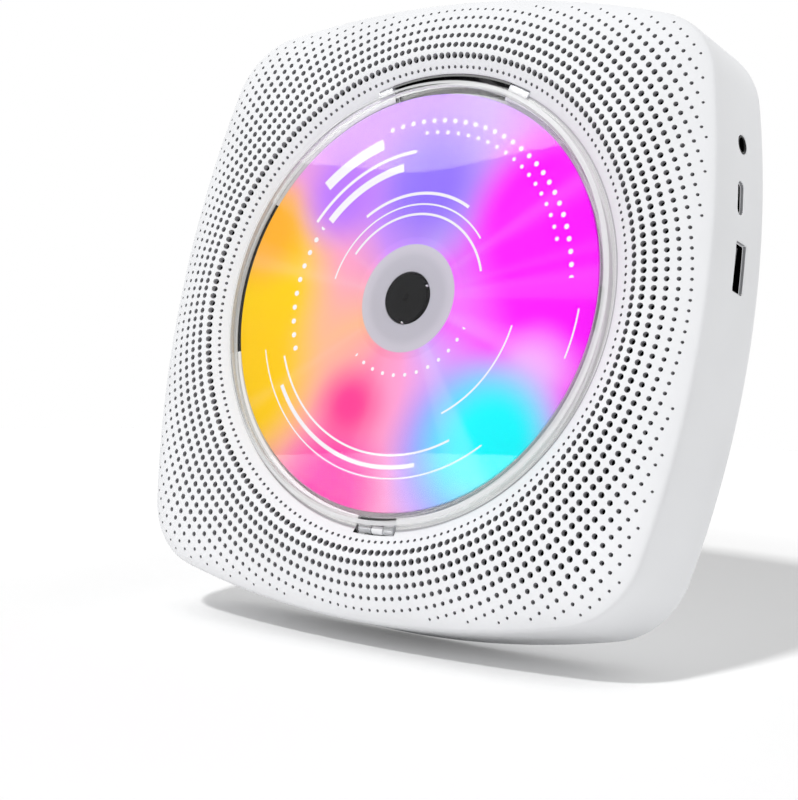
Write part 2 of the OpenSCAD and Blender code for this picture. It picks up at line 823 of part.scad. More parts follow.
module pickup_lens() {
    color([0.5, 0.6, 0.85, 0.7])
        translate([lens_x, 0, lens_top_z - lens_t]) cylinder(r = 2.6, h = lens_t);
}

// ---- rear cover and boards ----

rear_off = back_off - wall_t - 0.15;
main_w = 104;
main_h = 80;
main_z = 4.6;
pcb_t = 1.6;
main_post_in = 6;
main_post_x = main_w / 2 - main_post_in;
main_post_y = main_h / 2 - main_post_in;
port_z = 9.4;
port_t = 1;
port_edge = wall_x(usba_y, usba_z) - wall_t - 5.2;
port_x = [port_edge - 12.5, port_edge];
port_y = [usba_y - 26, jack_y + 7.5];
port_post = [[port_x[0] + 3, port_y[0] + 7], [port_x[0] + 3, usba_y + 10.4]];
ir_size = [4, 6, 5];
ir_x = port_x[0] + 6.5;
ir_y = port_y[0] + 4;

module hook_slot() {
    translate([-(hook_l - hook_w) / 2, 0, -1])
        union() {
            cylinder(r = hook_w / 2, h = rear_t + 2);
            translate([hook_l - hook_w, 0, 0]) cylinder(r = hook_w / 2, h = rear_t + 2);
            translate([0, -hook_w / 2, 0]) cube([hook_l - hook_w, hook_w, rear_t + 2]);
        }
}

module rear_cover() {
    color("white")
        difference() {
            union() {
                outline_plate(rear_off, 0.5, rear_t - 0.5);
                outline_plate(rear_off - 0.7, 0, 0.5);
                at_corners(main_post_x, main_post_y)
                    translate([0, 0, rear_t]) cylinder(r = 3, h = main_z - rear_t);
                for (p = port_post)
                    translate([p[0], p[1], rear_t]) cylinder(r = 2.4, h = port_z - rear_t);
            }
            at_corners(hook_x / 2, hook_y / 2) hook_slot();
            at_corners(rear_x, rear_y) {
                translate([0, 0, -1]) cylinder(r = 1.6, h = rear_t + 2);
                translate([0, 0, -1]) cylinder(r = 3.1, h = 2.2);
            }
            for (i = [-5:5])
                translate([i * 5 - 0.8, -rear_y - 8, -1]) cube([1.6, 12, rear_t + 2]);
            at_corners(main_post_x, main_post_y)
                translate([0, 0, rear_t - 0.6]) cylinder(r = 0.8, h = 8);
            for (p = port_post)
                translate([p[0], p[1], rear_t]) cylinder(r = 0.8, h = 12);
        }
}

module rear_screws() {
    color("silver")
        at_corners(rear_x, rear_y)
            difference() {
                screw_up(1.2, pilot_r, 9, 2.8, 1);
                translate([-0.4, -1.5, 0]) cube([0.8, 3, 0.7]);
                translate([-1.5, -0.4, 0]) cube([3, 0.8, 0.7]);
            }
}

module main_board() {
    color("darkgreen")
        difference() {
            block(0, 0, main_z, [main_w, main_h, pcb_t]);
            at_corners(main_post_x, main_post_y)
                translate([0, 0, main_z - 1]) cylinder(r = 1.1, h = pcb_t + 2);
        }
}

module screw_down(z, r, l, head_r, head_t) {
    translate([0, 0, z]) cylinder(r = head_r, h = head_t);
    translate([0, 0, z - l + 0.01]) cylinder(r = r, h = l);
}

module board_screws() {
    color("silver") {
        at_corners(main_post_x, main_post_y) screw_down(main_z + pcb_t, 0.8, 3.9, 1.9, 1.1);
        for (p = port_post)
            translate([p[0], p[1], 0]) screw_down(port_z + port_t, 0.8, 5, 1.7, 0.9);
        for (s = [-1, 1])
            translate([s * post_x, board_y - 0.9, button_z])
                rotate([-90, 0, 0]) {
                    cylinder(r = 1.7, h = 0.9);
                    cylinder(r = 0.7, h = 4.2);
                }
    }
}

chip_w = 14;
chip_t = 1.4;
chip_x = -22;
chip_y = 18;
cap_r = 3;
cap_h = 7.5;
cap_pitch = 9;
cap_x = -34;
cap_y = -24;

module main_chip() {
    color([0.12, 0.12, 0.12]) block(chip_x, chip_y, main_z + pcb_t, [chip_w, chip_w, chip_t]);
}

module capacitors() {
    color("navy")
        for (i = [0:3])
            translate([cap_x + cap_pitch * i, cap_y, main_z + pcb_t])
                cylinder(r = cap_r, h = cap_h);
}

module port_board() {
    color("darkgreen")
        difference() {
            translate([port_x[0], port_y[0], port_z])
                cube([port_x[1] - port_x[0], port_y[1] - port_y[0], port_t]);
            for (p = port_post)
                translate([p[0], p[1], port_z - 1]) cylinder(r = 1, h = 3);
        }
}

// Distance from the middle to the outer wall at height y, for a socket at depth z.
function wall_x(y, z) = side_c + sqrt(pow(side_r + side_off(z), 2) - y * y);
socket_in = 0.4;
port_top = port_z + port_t;
ir_z = port_top + 11.6;

module aux_jack() {
    x1 = wall_x(jack_y, socket_z) - socket_in - 0.6;
    body_x1 = wall_x(jack_y + 4, socket_z) - wall_t - 0.6;
    color([0.15, 0.15, 0.15])
        difference() {
            union() {
                translate([body_x1 - 12, jack_y - 3.2, port_top])
                    cube([12, 6.4, 2 * (socket_z - port_top)]);
                rod_x(body_x1 - 0.2, jack_y, socket_z, jack_hole_r - 0.1, x1 - body_x1 + 0.2);
            }
            rod_x(x1 - 12, jack_y, socket_z, 1.8, 14);
        }
}

module usb_c_port() {
    x1 = wall_x(usbc_y, usbc_z) - socket_in;
    body_x1 = wall_x(usbc_y + 5, usbc_z) - wall_t - 0.4;
    color("silver")
        difference() {
            union() {
                along_x(x1 - 8.4, x1, usbc_y, usbc_z) usbc_outline(usbc_w, usbc_t);
                translate([x1 - 8.4, usbc_y - 3.6, port_top])
                    cube([body_x1 - x1 + 8.4, 7.2, usbc_z - port_top]);
            }
            along_x(x1 - 7.4, x1 + 1, usbc_y, usbc_z) usbc_outline(usbc_w - 0.6, usbc_t - 0.6);
        }
}

module usb_c_tongue() {
    x1 = wall_x(usbc_y, usbc_z) - socket_in;
    color([0.1, 0.1, 0.1]) block(x1 - 4.4, usbc_y, usbc_z - 0.35, [6, 6.7, 0.7]);
}

module usb_a_port() {
    x1 = wall_x(usba_y, usba_z) - socket_in;
    color("silver")
        difference() {
            translate([x1 - 14, usba_y - usba_w / 2, usba_z - usba_t / 2])
                cube([14, usba_w, usba_t]);
            translate([x1 - 13, usba_y - usba_w / 2 + 0.35, usba_z - usba_t / 2 + 0.35])
                cube([14, usba_w - 0.7, usba_t - 0.7]);
        }
}

module usb_a_tongue() {
    x1 = wall_x(usba_y, usba_z) - socket_in;
    color([0.1, 0.1, 0.1]) block(x1 - 9, usba_y, usba_z - 1.7, [8, 11.1, 1.9]);
}

module ir_receiver() {
    color([0.1, 0.1, 0.12]) {
        block(ir_x, ir_y, ir_z, ir_size);
        for (i = [-1:1]) block(ir_x, ir_y + 2 * i, port_top, [0.6, 0.6, ir_z + 0.1 - port_top]);
    }
}

// ---- speakers ----

speaker_t = 1.2;
cone_z = speaker_z - speaker_t;
magnet_r = speaker_r - 6;
magnet_z = 4.4;
magnet_h = 4.8;
pole_r = 4;
basket_r = speaker_r - 4.6;
basket_t = 1.2;
ear_l = 9.2;

module at_speaker(s) {
    rotate([0, 0, s > 0 ? -45 : -135]) translate([speaker_reach, 0, 0]) children();
}

module speaker_frame(s) {
    color([0.25, 0.25, 0.25])
        at_speaker(s)
            difference() {
                union() {
                    rotate_extrude()
                        polygon([
                            [speaker_r - 2.6, cone_z], [speaker_r, cone_z],
                            [speaker_r, speaker_z], [speaker_r - 2.6, speaker_z]]);
                    rotate_extrude()
                        polygon([
                            [basket_r - basket_t, magnet_z + magnet_h + 0.8],
                            [basket_r, magnet_z + magnet_h + 0.8],
                            [speaker_r - 1.2, cone_z + 0.1], [speaker_r - 2.4, cone_z + 0.1]]);
                    ring(basket_r, pole_r + 2, magnet_z + magnet_h, 1);
                    for (e = [-1, 1])
                        difference() {
                            translate([-3, e * (speaker_r + 3.2) - ear_l / 2, cone_z])
                                cube([6, ear_l, speaker_t]);
                            translate([0, 0, cone_z - 1]) cylinder(r = speaker_r - 1, h = 4);
                        }
                }
                for (e = [-1, 1])
                    translate([0, e * rib_y, cone_z - 1]) cylinder(r = 1.2, h = 4);
            }
}

module speaker_cone(s) {
    color([0.12, 0.12, 0.12])
        at_speaker(s)
            rotate_extrude()
                polygon([
                    [0, cone_z - 2.2], [pole_r + 0.4, cone_z - 4], [speaker_r - 5.4, cone_z],
                    [speaker_r - 4, cone_z + 0.7], [speaker_r - 2.8, cone_z + 0.2],
                    [speaker_r - 2.8, cone_z - 0.3], [speaker_r - 4, cone_z + 0.3],
                    [speaker_r - 5.3, cone_z - 0.5], [pole_r + 0.8, cone_z - 4.6],
                    [0, cone_z - 2.8]]);
}

module speaker_magnet(s) {
    color([0.3, 0.3, 0.32])
        at_speaker(s) {
            translate([0, 0, magnet_z]) cylinder(r = magnet_r, h = magnet_h);
            translate([0, 0, magnet_z + magnet_h - 0.2]) cylinder(r = pole_r, h = 2.4);
        }
}

module speaker_gasket(s) {
    color([0.1, 0.1, 0.1])
        at_speaker(s) ring(speaker_r - 0.4, speaker_r - 2.2, speaker_z, gasket_top - speaker_z);
}
gasket_top = crest_z - 6.4;

module speaker_screws() {
    color("silver")
        for (s = [-1, 1])
            at_speaker(s)
                for (e = [-1, 1]) translate([0, e * rib_y, 0]) screw_up(cone_z, pilot_r, 6, 2, 1);
}

// ---- buttons ----

// The board's posts end half way into the top wall.
post_top = side_c + sqrt(pow(side_r - wall_t / 2, 2) - post_x * post_x);

module button_board() {
    color("darkgreen")
        difference() {
            block(0, board_y + board_t / 2, button_z - 5, [2 * post_x + 6, board_t, 9.6]);
            for (s = [-1, 1])
                translate([s * post_x, board_y - 1, button_z])
                    rotate([-90, 0, 0]) cylinder(r = 0.9, h = 4);
        }
}

module button_switches() {
    color([0.2, 0.2, 0.2])
        for (x = button_x) block(x, board_y + board_t + switch_h / 2, button_z - 3, [6, switch_h, 6]);
}

module button(i) {
    x = button_x[i];
    top = side_c + sqrt(pow(side_r + side_off(button_z), 2) - x * x);
    flange = top - wall_t - 0.5 - collar_gap;
    low = board_y + board_t + switch_h + button_travel + 0.1;
    color([0.93, 0.93, 0.93])
        translate([x, 0, button_z])
            rotate([-90, 0, 0]) {
                translate([0, 0, flange - collar_t])
                    cylinder(r = button_d / 2, h = top + 0.8 - flange + collar_t);
                translate([0, 0, flange - collar_t]) cylinder(r = button_d / 2 + 0.8, h = collar_t);
                translate([0, 0, low]) cylinder(r = 1.6, h = flange - low);
            }
}

module button_previous() { button(0); }
module button_next() { button(1); }
module button_play() { button(2); }
module button_mode() { button(3); }
module button_power() { button(4); }

hang() {
    front_shell();
    front_grille();
    disc_well();
    recess_liners();
    grille_cloth();
    rear_cover();
    rear_screws();
    disc_tray();
    mech_chassis();
    dampers();
    damper_screws();
    spindle_motor();
    spindle_bush();
    guide_rods();
    sled_motor();
    main_board();
    board_screws();
    main_chip();
    capacitors();
    port_board();
    aux_jack();
    usb_c_port();
    usb_c_tongue();
    usb_a_port();
    usb_a_tongue();
    ir_receiver();
    speaker_frame(-1);  // speaker_frame_left
    speaker_frame(1);  // speaker_frame_right
    speaker_cone(-1);  // speaker_cone_left
    speaker_cone(1);  // speaker_cone_right
    speaker_magnet(-1);  // speaker_magnet_left
    speaker_magnet(1);  // speaker_magnet_right
    speaker_gasket(-1);  // speaker_gasket_left
    speaker_gasket(1);  // speaker_gasket_right
    speaker_screws();
    button_board();
    button_switches();
    hinge_pin();
    cover_window();
    cover_rim();
    disc();
    turntable();
    hub_cap();
    retaining_balls();
    spindle_shaft();
    pickup_sled();
    lens_holder();
    pickup_lens();
    lead_screw();
    button_power();
    button_previous();
    button_play();
    button_next();
    button_mode();
}
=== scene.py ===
"""Looks of a wall mounted disc player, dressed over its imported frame.

Lengths inside the classes are millimetres in the player's own axes: x to the right, y up
the wall and z out of the wall. The player's wall side lies on z = 0.
"""

import json
import logging
import math
from dataclasses import dataclass, field
from enum import Enum
from typing import Any, Sequence

import bpy
import numpy as np
from mathutils import Matrix

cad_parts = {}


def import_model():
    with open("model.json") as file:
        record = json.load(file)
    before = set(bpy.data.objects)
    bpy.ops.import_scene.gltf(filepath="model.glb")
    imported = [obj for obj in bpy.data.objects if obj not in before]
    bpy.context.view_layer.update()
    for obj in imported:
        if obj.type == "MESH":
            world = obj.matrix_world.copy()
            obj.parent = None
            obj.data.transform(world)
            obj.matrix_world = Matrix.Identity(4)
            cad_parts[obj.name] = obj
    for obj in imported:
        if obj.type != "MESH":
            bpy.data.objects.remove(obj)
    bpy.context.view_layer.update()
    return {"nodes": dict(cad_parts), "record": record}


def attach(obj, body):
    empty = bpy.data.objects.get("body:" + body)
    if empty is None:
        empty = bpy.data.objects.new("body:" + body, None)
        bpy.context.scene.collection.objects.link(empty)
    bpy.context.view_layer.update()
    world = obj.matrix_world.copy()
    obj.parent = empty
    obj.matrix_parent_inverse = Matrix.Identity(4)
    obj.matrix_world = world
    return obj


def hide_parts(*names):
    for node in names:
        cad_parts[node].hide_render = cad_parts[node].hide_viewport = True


LOG = logging.getLogger("player")
Colour = tuple[float, float, float]
Point = tuple[float, float, float]
MM = 1000.0
WHITE: Colour = (1.0, 1.0, 1.0)
BLACK: Colour = (0.0, 0.0, 0.0)


# ---------------------------------------------------------------- shader tools

class Expression:
    """A shader socket that takes part in arithmetic, where each operator adds one Math node."""

    def __init__(self, paint: "Paint", socket: Any) -> None:
        """Wrap one output socket of a paint's node tree."""
        self.paint = paint
        self.socket = socket

    def __add__(self, other: Any) -> "Expression":
        """self + other."""
        return self.paint.math("ADD", self, other)

    def __radd__(self, other: Any) -> "Expression":
        """other + self."""
        return self.paint.math("ADD", other, self)

    def __sub__(self, other: Any) -> "Expression":
        """self - other."""
        return self.paint.math("SUBTRACT", self, other)

    def __rsub__(self, other: Any) -> "Expression":
        """other - self."""
        return self.paint.math("SUBTRACT", other, self)

    def __mul__(self, other: Any) -> "Expression":
        """self * other."""
        return self.paint.math("MULTIPLY", self, other)

    def __rmul__(self, other: Any) -> "Expression":
        """other * self."""
        return self.paint.math("MULTIPLY", other, self)

    def __truediv__(self, other: Any) -> "Expression":
        """self / other."""
        return self.paint.math("DIVIDE", self, other)

    def __pow__(self, other: Any) -> "Expression":
        """self to the power of other."""
        return self.paint.math("POWER", self, other)

    def __lt__(self, other: Any) -> "Expression":
        """1 where self is less than other, else 0."""
        return self.paint.math("LESS_THAN", self, other)

    def least(self, other: Any) -> "Expression":
        """The smaller of the two."""
        return self.paint.math("MINIMUM", self, other)

    def most(self, other: Any) -> "Expression":
        """The larger of the two."""
        return self.paint.math("MAXIMUM", self, other)

    def rise(self, low: float, high: float) -> "Expression":
        """Go smoothly from 0 at low to 1 at high.

        Args:
            low: Value at which the result leaves 0.
            high: Value at which the result reaches 1.

        Returns:
            The eased share between the two.
        """
        return self.paint.node(
            "ShaderNodeMapRange", {"interpolation_type": "SMOOTHSTEP"},
            {0: self, 1: low, 2: high, 3: 0.0, 4: 1.0})

    def band(self, low: float, high: float, soft: float) -> "Expression":
        """1 between low and high, falling to 0 over soft on either side."""
        return self.rise(low - soft, low + soft) * (1 - self.rise(high - soft, high + soft))


class Paint:
    """A node tree in the making, of a material or a world, and one way to add a node."""

    def __init__(self, name: str, block: Any = None) -> None:
        """Start an empty material of this name, or empty a world's tree."""
        self.block = block or bpy.data.materials.new(name)
        self.block.use_nodes = True
        self.tree = self.block.node_tree
        self.tree.nodes.clear()

    def node(self, kind: str, settings: dict[str, Any] | None = None,
             inputs: dict[Any, Any] | None = None, out: Any = 0) -> Expression:
        """Add a node.

        Args:
            kind: Type name of the node.
            settings: Attributes to set before the sockets.
            inputs: Socket values or Expressions, by socket name or number.
            out: Name or number of the output that is handed back.

        Returns:
            The chosen output socket.
        """
        made = self.tree.nodes.new(kind)
        for key, value in (settings or {}).items():
            if key == "stops":
                self._stops(made.color_ramp, value)
            else:
                setattr(made, key, value)
        for key, value in (inputs or {}).items():
            if isinstance(value, Expression):
                self.tree.links.new(value.socket, made.inputs[key])
            elif value is not None:
                if isinstance(value, tuple) and len(value) == 3 \
                        and made.inputs[key].type == "RGBA":
                    value = (*value, 1.0)
                made.inputs[key].default_value = value
        return Expression(self, made.outputs[out] if made.outputs else None)

    @staticmethod
    def _stops(ramp: Any, stops: Sequence[tuple[float, Colour]]) -> None:
        """Give a colour ramp its stops."""
        while len(ramp.elements) < len(stops):
            ramp.elements.new(1.0)
        for element, (place, colour) in zip(ramp.elements, stops):
            element.position = place
            element.color = (*colour, 1.0)

    def math(self, operation: str, *values: Any) -> Expression:
        """Add a Math node on these values."""
        return self.node("ShaderNodeMath", {"operation": operation}, dict(enumerate(values)))

    def where(self) -> Expression:
        """Return the object's own coordinates."""
        return self.node("ShaderNodeTexCoord", out="Object")

    def places(self) -> tuple[Expression, Expression, Expression]:
        """Return x, y and z in millimetres along the player's own axes."""
        split = self.node("ShaderNodeSeparateXYZ", inputs={0: self.where()})
        ends = [Expression(self, end) for end in split.socket.node.outputs]
        return ends[0] * MM, ends[2] * MM, ends[1] * -MM

    def polar(self) -> tuple[Expression, Expression]:
        """Return the distance from the disc's axis in millimetres and the angle in degrees."""
        x, y, _ = self.places()
        reach = (x * x + y * y) ** 0.5
        turn = self.math("ARCTAN2", y, x) * (180.0 / math.pi)
        return reach, turn + (turn < 0.0) * 360.0

    def mix(self, share: Any, first: Any, second: Any) -> Expression:
        """Blend two colours; a share of 1 gives the second."""
        return self.node("ShaderNodeMix", {"data_type": "RGBA"},
                         {0: share, 6: first, 7: second}, out=2)

    def noise(self, scale: float, detail: float = 3.0) -> Expression:
        """Return noise on the object's own coordinates, scale in cells per metre."""
        return self.node("ShaderNodeTexNoise", None, {
            "Vector": self.where(), "Scale": scale, "Detail": detail, "Roughness": 0.55})

    def bump(self, height: Expression, depth: float, strength: float) -> Expression:
        """Turn a height of 0 to 1 into a normal; depth in millimetres."""
        return self.node("ShaderNodeBump", None,
                         {"Strength": strength, "Distance": depth / MM, "Height": height})

    def principled(self, **inputs: Any) -> Expression:
        """Add a Principled surface; underscores in names stand for spaces."""
        return self.node("ShaderNodeBsdfPrincipled", None,
                         {key.replace("_", " "): value for key, value in inputs.items()})

    def finish(self, surface: Expression) -> bpy.types.Material:
        """Join the surface to the output and return the material."""
        self.node("ShaderNodeOutputMaterial", None, {"Surface": surface})
        return self.block


def tone(*levels: float) -> Colour:
    """Turn picture levels of 0 to 255 into linear light: ((v + 0.055) / 1.055) ** 2.4."""
    share = [v / 255.0 for v in levels]
    return tuple(v / 12.92 if v <= 0.04045 else ((v + 0.055) / 1.055) ** 2.4 for v in share)


def times(colour: Colour, share: float) -> Colour:
    """Brighten or darken a colour by a factor."""
    return tuple(v * share for v in colour)


# ---------------------------------------------------------------- finishes

@dataclass(frozen=True)
class MouldedPlastic:
    """Moulded plastic with a fine spark texture and a trace of unevenness."""

    name: str
    colour: Colour
    roughness: float = 0.42
    specular: float = 0.4
    grain: float = 0.03
    grain_scale: float = 1900.0
    grain_strength: float = 0.35
    patch_scale: float = 22.0
    uneven: float = 0.05

    def material(self) -> bpy.types.Material:
        """Make the material."""
        paint = Paint(self.name)
        patches = paint.noise(self.patch_scale, 2.0).rise(0.3, 0.75)
        spark = paint.noise(self.grain_scale, 2.0)
        return paint.finish(paint.principled(
            Base_Color=paint.mix(patches, self.colour, times(self.colour, 1 - self.uneven)),
            Roughness=self.roughness - 0.05 + 0.1 * spark, Specular_IOR_Level=self.specular,
            Normal=paint.bump(spark, self.grain, self.grain_strength)))


@dataclass(frozen=True)
class GlossPlastic:
    """Polished plastic that mirrors softly, with faint wiping marks."""

    name: str
    colour: Colour
    roughness: float = 0.07
    specular: float = 0.25
    mark_scale: float = 160.0
    mark_dulling: float = 0.08

    def material(self) -> bpy.types.Material:
        """Make the material."""
        paint = Paint(self.name)
        marks = paint.noise(self.mark_scale, 4.0)
        return paint.finish(paint.principled(
            Base_Color=paint.mix(marks, self.colour, times(self.colour, 1.25)),
            Roughness=self.roughness + self.mark_dulling * marks.rise(0.55, 0.8),
            Specular_IOR_Level=self.specular))


@dataclass(frozen=True)
class SpeakerCloth:
    """Plain woven cloth: two crossed sets of threads that pass over and under, with painted
    shade between them.
    """

    name: str
    colour: Colour
    thread: float = 0.45
    thread_depth: float = 0.1
    fuzz_scale: float = 3000.0

    def material(self) -> bpy.types.Material:
        """Make the material: threads are the product of a sine along x and one along y."""
        paint = Paint(self.name)
        x, y, _ = paint.places()
        turn = 2 * math.pi / self.thread
        over = paint.math("SINE", x * turn) * paint.math("SINE", y * turn) * 0.5 + 0.5
        height = over * 0.8 + paint.noise(self.fuzz_scale, 2.0) * 0.2
        # The colour darkens towards the low parts of the weave: painted shade between the
        # threads.
        return paint.finish(paint.principled(
            Base_Color=paint.mix(height, times(self.colour, 0.35), self.colour),
            Roughness=0.9, Specular_IOR_Level=0.1,
            Normal=paint.bump(height, self.thread_depth, 0.8)))


@dataclass(frozen=True)
class BareMetal:
    """Machined or rolled metal with fine lines along the player's own x axis."""

    name: str
    colour: Colour
    roughness: float = 0.25
    lines: float = 0.12
    line_cells: Point = (60.0, 2600.0, 2600.0)

    def material(self) -> bpy.types.Material:
        """Make the material."""
        paint = Paint(self.name)
        along = paint.node("ShaderNodeMapping", None, {0: paint.where(), 3: self.line_cells})
        drawn = paint.node("ShaderNodeTexNoise", None,
                           {"Vector": along, "Scale": 1.0, "Detail": 2.0})
        return paint.finish(paint.principled(
            Base_Color=paint.mix(drawn, self.colour, times(self.colour, 0.86)),
            Metallic=1.0, Roughness=self.roughness + self.lines * (drawn - 0.5),
            Normal=paint.bump(drawn, 0.01, 0.25)))


@dataclass(frozen=True)
class CircuitBoard:
    """Lacquered board with copper tracks under the lacquer."""

    name: str
    colour: Colour
    track_turn: float = 5.0
    track_depth: float = 0.05

    def material(self) -> bpy.types.Material:
        """Make the material: a track runs where a sine along x or along y is high."""
        paint = Paint(self.name)
        x, y, _ = paint.places()
        upright, level = (paint.math("SINE", v * self.track_turn) for v in (x, y))
        tracks = (upright.band(0.2, 1.2, 0.1) + level.band(0.7, 1.2, 0.08)).least(1.0)
        pale = tuple(min(v * 1.7 + 0.01, 1.0) for v in self.colour)
        return paint.finish(paint.principled(
            Base_Color=paint.mix(tracks, self.colour, pale), Roughness=0.32,
            Coat_Weight=0.3, Normal=paint.bump(tracks, self.track_depth, 0.6)))


@dataclass(frozen=True)
class ClearPlastic:
    """Clear moulded plastic: it lets light straight through and mirrors at its surface.

    The mirrored share grows from its value square on as the fifth power of the facing
    angle. A veil of milky white is painted light: it stands for the light that a thick edge
    scatters, and bands of (low, high, weight) add painted highlights to it between two
    distances from the disc's axis.
    """

    name: str
    mirror: float = 0.02
    grazing: float = 0.75
    veil: float = 0.0
    veil_colour: Colour = (0.8, 0.8, 0.8)
    tint: Colour = WHITE
    roughness: float = 0.02
    bands: tuple[tuple[float, float, float], ...] = ()
    band_edge: float = 0.06

    def material(self) -> bpy.types.Material:
        """Make the material."""
        paint = Paint(self.name)
        through = paint.node("ShaderNodeBsdfTransparent", None, {"Color": self.tint})
        milk = paint.principled(Base_Color=self.veil_colour, Roughness=0.25)
        share: Any = self.veil
        if self.bands:
            reach, _ = paint.polar()
            for low, high, weight in self.bands:
                share = share + reach.band(low, high, self.band_edge) * weight
        body = paint.node("ShaderNodeMixShader", None, {0: share, 1: through, 2: milk})
        mirror = paint.node("ShaderNodeBsdfGlossy", None, {"Roughness": self.roughness})
        facing = paint.node("ShaderNodeLayerWeight", None, {"Blend": 0.5}, out="Facing")
        edge = self.mirror + (self.grazing - self.mirror) * facing ** 5.0
        return paint.finish(paint.node(
            "ShaderNodeMixShader", None, {0: edge, 1: body, 2: mirror}))


# ---------------------------------------------------------------- mesh tools

def unit(vectors: np.ndarray) -> np.ndarray:
    """Bring a vector, or each row of vectors, to length 1."""
    return vectors / np.linalg.norm(vectors, axis=-1, keepdims=True)


def stand(name: str, data: Any, axes: Sequence[Any] = (), at: Any = (0, 0, 0)
          ) -> bpy.types.Object:
    """Make an object and link it to the scene.

    Args:
        name: Name of the object.
        data: Its mesh, lamp or camera.
        axes: Its own x, y and z axes, where it is turned.
        at: Its place in metres, where it is turned.

    Returns:
        The object.
    """
    made = bpy.data.objects.new(name, data)
    if len(axes):
        rows = np.column_stack([*axes, at]).tolist()
        made.matrix_world = Matrix([*rows, (0.0, 0.0, 0.0, 1.0)])
    bpy.context.scene.collection.objects.link(made)
    return made


def patch(name: str, points: np.ndarray, faces: Sequence[Any]) -> bpy.types.Object:
    """Make an object from points in metres, of shape (n, 3), and faces that number them."""
    mesh = bpy.data.meshes.new(name)
    mesh.from_pydata(points.tolist(), [], faces)
    return stand(name, mesh)


def cells(numbers: np.ndarray) -> np.ndarray:
    """Join each number of a grid to its neighbours: a face (row, column, 4) for each cell."""
    return np.stack([numbers[:-1, :-1], numbers[:-1, 1:], numbers[1:, 1:],
                     numbers[1:, :-1]], axis=-1)


@dataclass
class Sheet:
    """A surface in the making: points in millimetres and four-cornered faces.

    A face's skin is the number of its material on the finished piece. Points within WELD
    millimetres of each other become one.
    """

    WELD = 0.002

    points: list[np.ndarray] = field(default_factory=list)
    faces: list[np.ndarray] = field(default_factory=list)
    skins: list[np.ndarray] = field(default_factory=list)
    count: int = 0

    def add(self, points: np.ndarray, faces: np.ndarray, skin: Any = 0) -> None:
        """Add points of shape (n, 3) and faces of shape (m, 4) that number them from 0."""
        faces = faces.reshape(-1, 4)
        self.points.append(points.reshape(-1, 3))
        self.faces.append(faces + self.count)
        self.skins.append(np.broadcast_to(skin, len(faces)))
        self.count += len(self.points[-1])

    def grid(self, points: np.ndarray, around: bool = False, flip: bool = False,
             keep: np.ndarray | None = None, skin: Any = 0) -> None:
        """Add a grid of points, joined to their neighbours.

        Args:
            points: Array of shape (rows, columns, 3).
            around: Whether the last column joins the first.
            flip: Whether the faces point the other way.
            keep: Which cells to keep, of shape (rows - 1, cells in a row).
            skin: The cells' material number, one for all or one for each.
        """
        rows, cols = points.shape[:2]
        n = np.arange(rows * cols).reshape(rows, cols)
        if around:
            n = np.concatenate([n, n[:, :1]], axis=1)
        faces = cells(n)[..., ::-1] if flip else cells(n)
        self.add(points, faces[keep] if keep is not None else faces,
                 np.reshape(skin, -1) if np.ndim(skin) else skin)

    def bar(self, rings: np.ndarray, skin: int = 0, tip: int | None = None) -> None:
        """Add a bar with both ends closed.

        Args:
            rings: Closed rings of points along it, of shape (m, n, 3).
            skin: Its material number.
            tip: The material number of its last end, where that differs.
        """
        ends = [np.broadcast_to(rings[i].mean(axis=0), rings[i].shape)[None] for i in (0, -1)]
        rows = np.concatenate([ends[0], rings, ends[1]])
        rows = np.concatenate([rows, rows[:, :1]], axis=1)[:, ::-1]
        tip = skin if tip is None else tip
        column = np.array([skin] * (len(rings) - 1) + [tip] * 2)
        self.grid(rows, skin=np.repeat(column, rows.shape[1] - 1))

    def make(self, name: str, sharp: float = 35.0) -> bpy.types.Object:
        """Merge points that meet, drop empty faces and make the object.

        Points of the player's axes become (x, -z, y) in metres.

        Args:
            name: Name of the piece.
            sharp: Angle in degrees from which an edge stays crisp.

        Returns:
            The object at the origin, with its mesh in the row frame.
        """
        points = np.concatenate(self.points)
        faces = np.concatenate(self.faces)
        skins = np.concatenate(self.skins)
        _, first, back = np.unique(np.round(points / self.WELD).astype(np.int64), axis=0,
                                   return_index=True, return_inverse=True)
        points = points[first]
        faces = back.reshape(-1)[faces]
        same = np.stack([faces[:, i] == faces[:, (i + 1) % 4] for i in range(4)], axis=1)
        spare = same.sum(axis=1)
        cross = (faces[:, 0] == faces[:, 2]) | (faces[:, 1] == faces[:, 3])
        four, three = (spare == 0) & ~cross, (spare == 1) & ~cross
        quads = faces[four]
        tris = faces[three][~same[three]].reshape(-1, 3)
        row = np.stack([points[:, 0], -points[:, 2], points[:, 1]], axis=1) / MM
        made = patch(name, row, quads.tolist() + tris.tolist())
        mesh = made.data
        mesh.polygons.foreach_set("material_index", np.concatenate([skins[four], skins[three]]))
        mesh.validate()
        mesh.polygons.foreach_set("use_smooth", np.ones(len(mesh.polygons), dtype=bool))
        mesh.set_sharp_from_angle(angle=math.radians(sharp))
        return made


def carried(shape: np.ndarray, angle: np.ndarray) -> np.ndarray:
    """Carry profiles round the disc's axis: x = r cos t, y = r sin t, z = z.

    Args:
        shape: Radius and height of each point, of shape (..., 2).
        angle: Directions in degrees, of a shape that goes with shape's.

    Returns:
        Points of shape (..., 3).
    """
    t = np.radians(angle)
    r, z = shape[..., 0], shape[..., 1]
    return np.stack([r * np.cos(t), r * np.sin(t), z + 0 * t], axis=-1)


def turned(profile: np.ndarray, steps: int = 256) -> np.ndarray:
    """Carry one profile of shape (n, 2) all the way round, in so many columns."""
    return carried(profile[:, None], np.arange(steps) * (360.0 / steps))


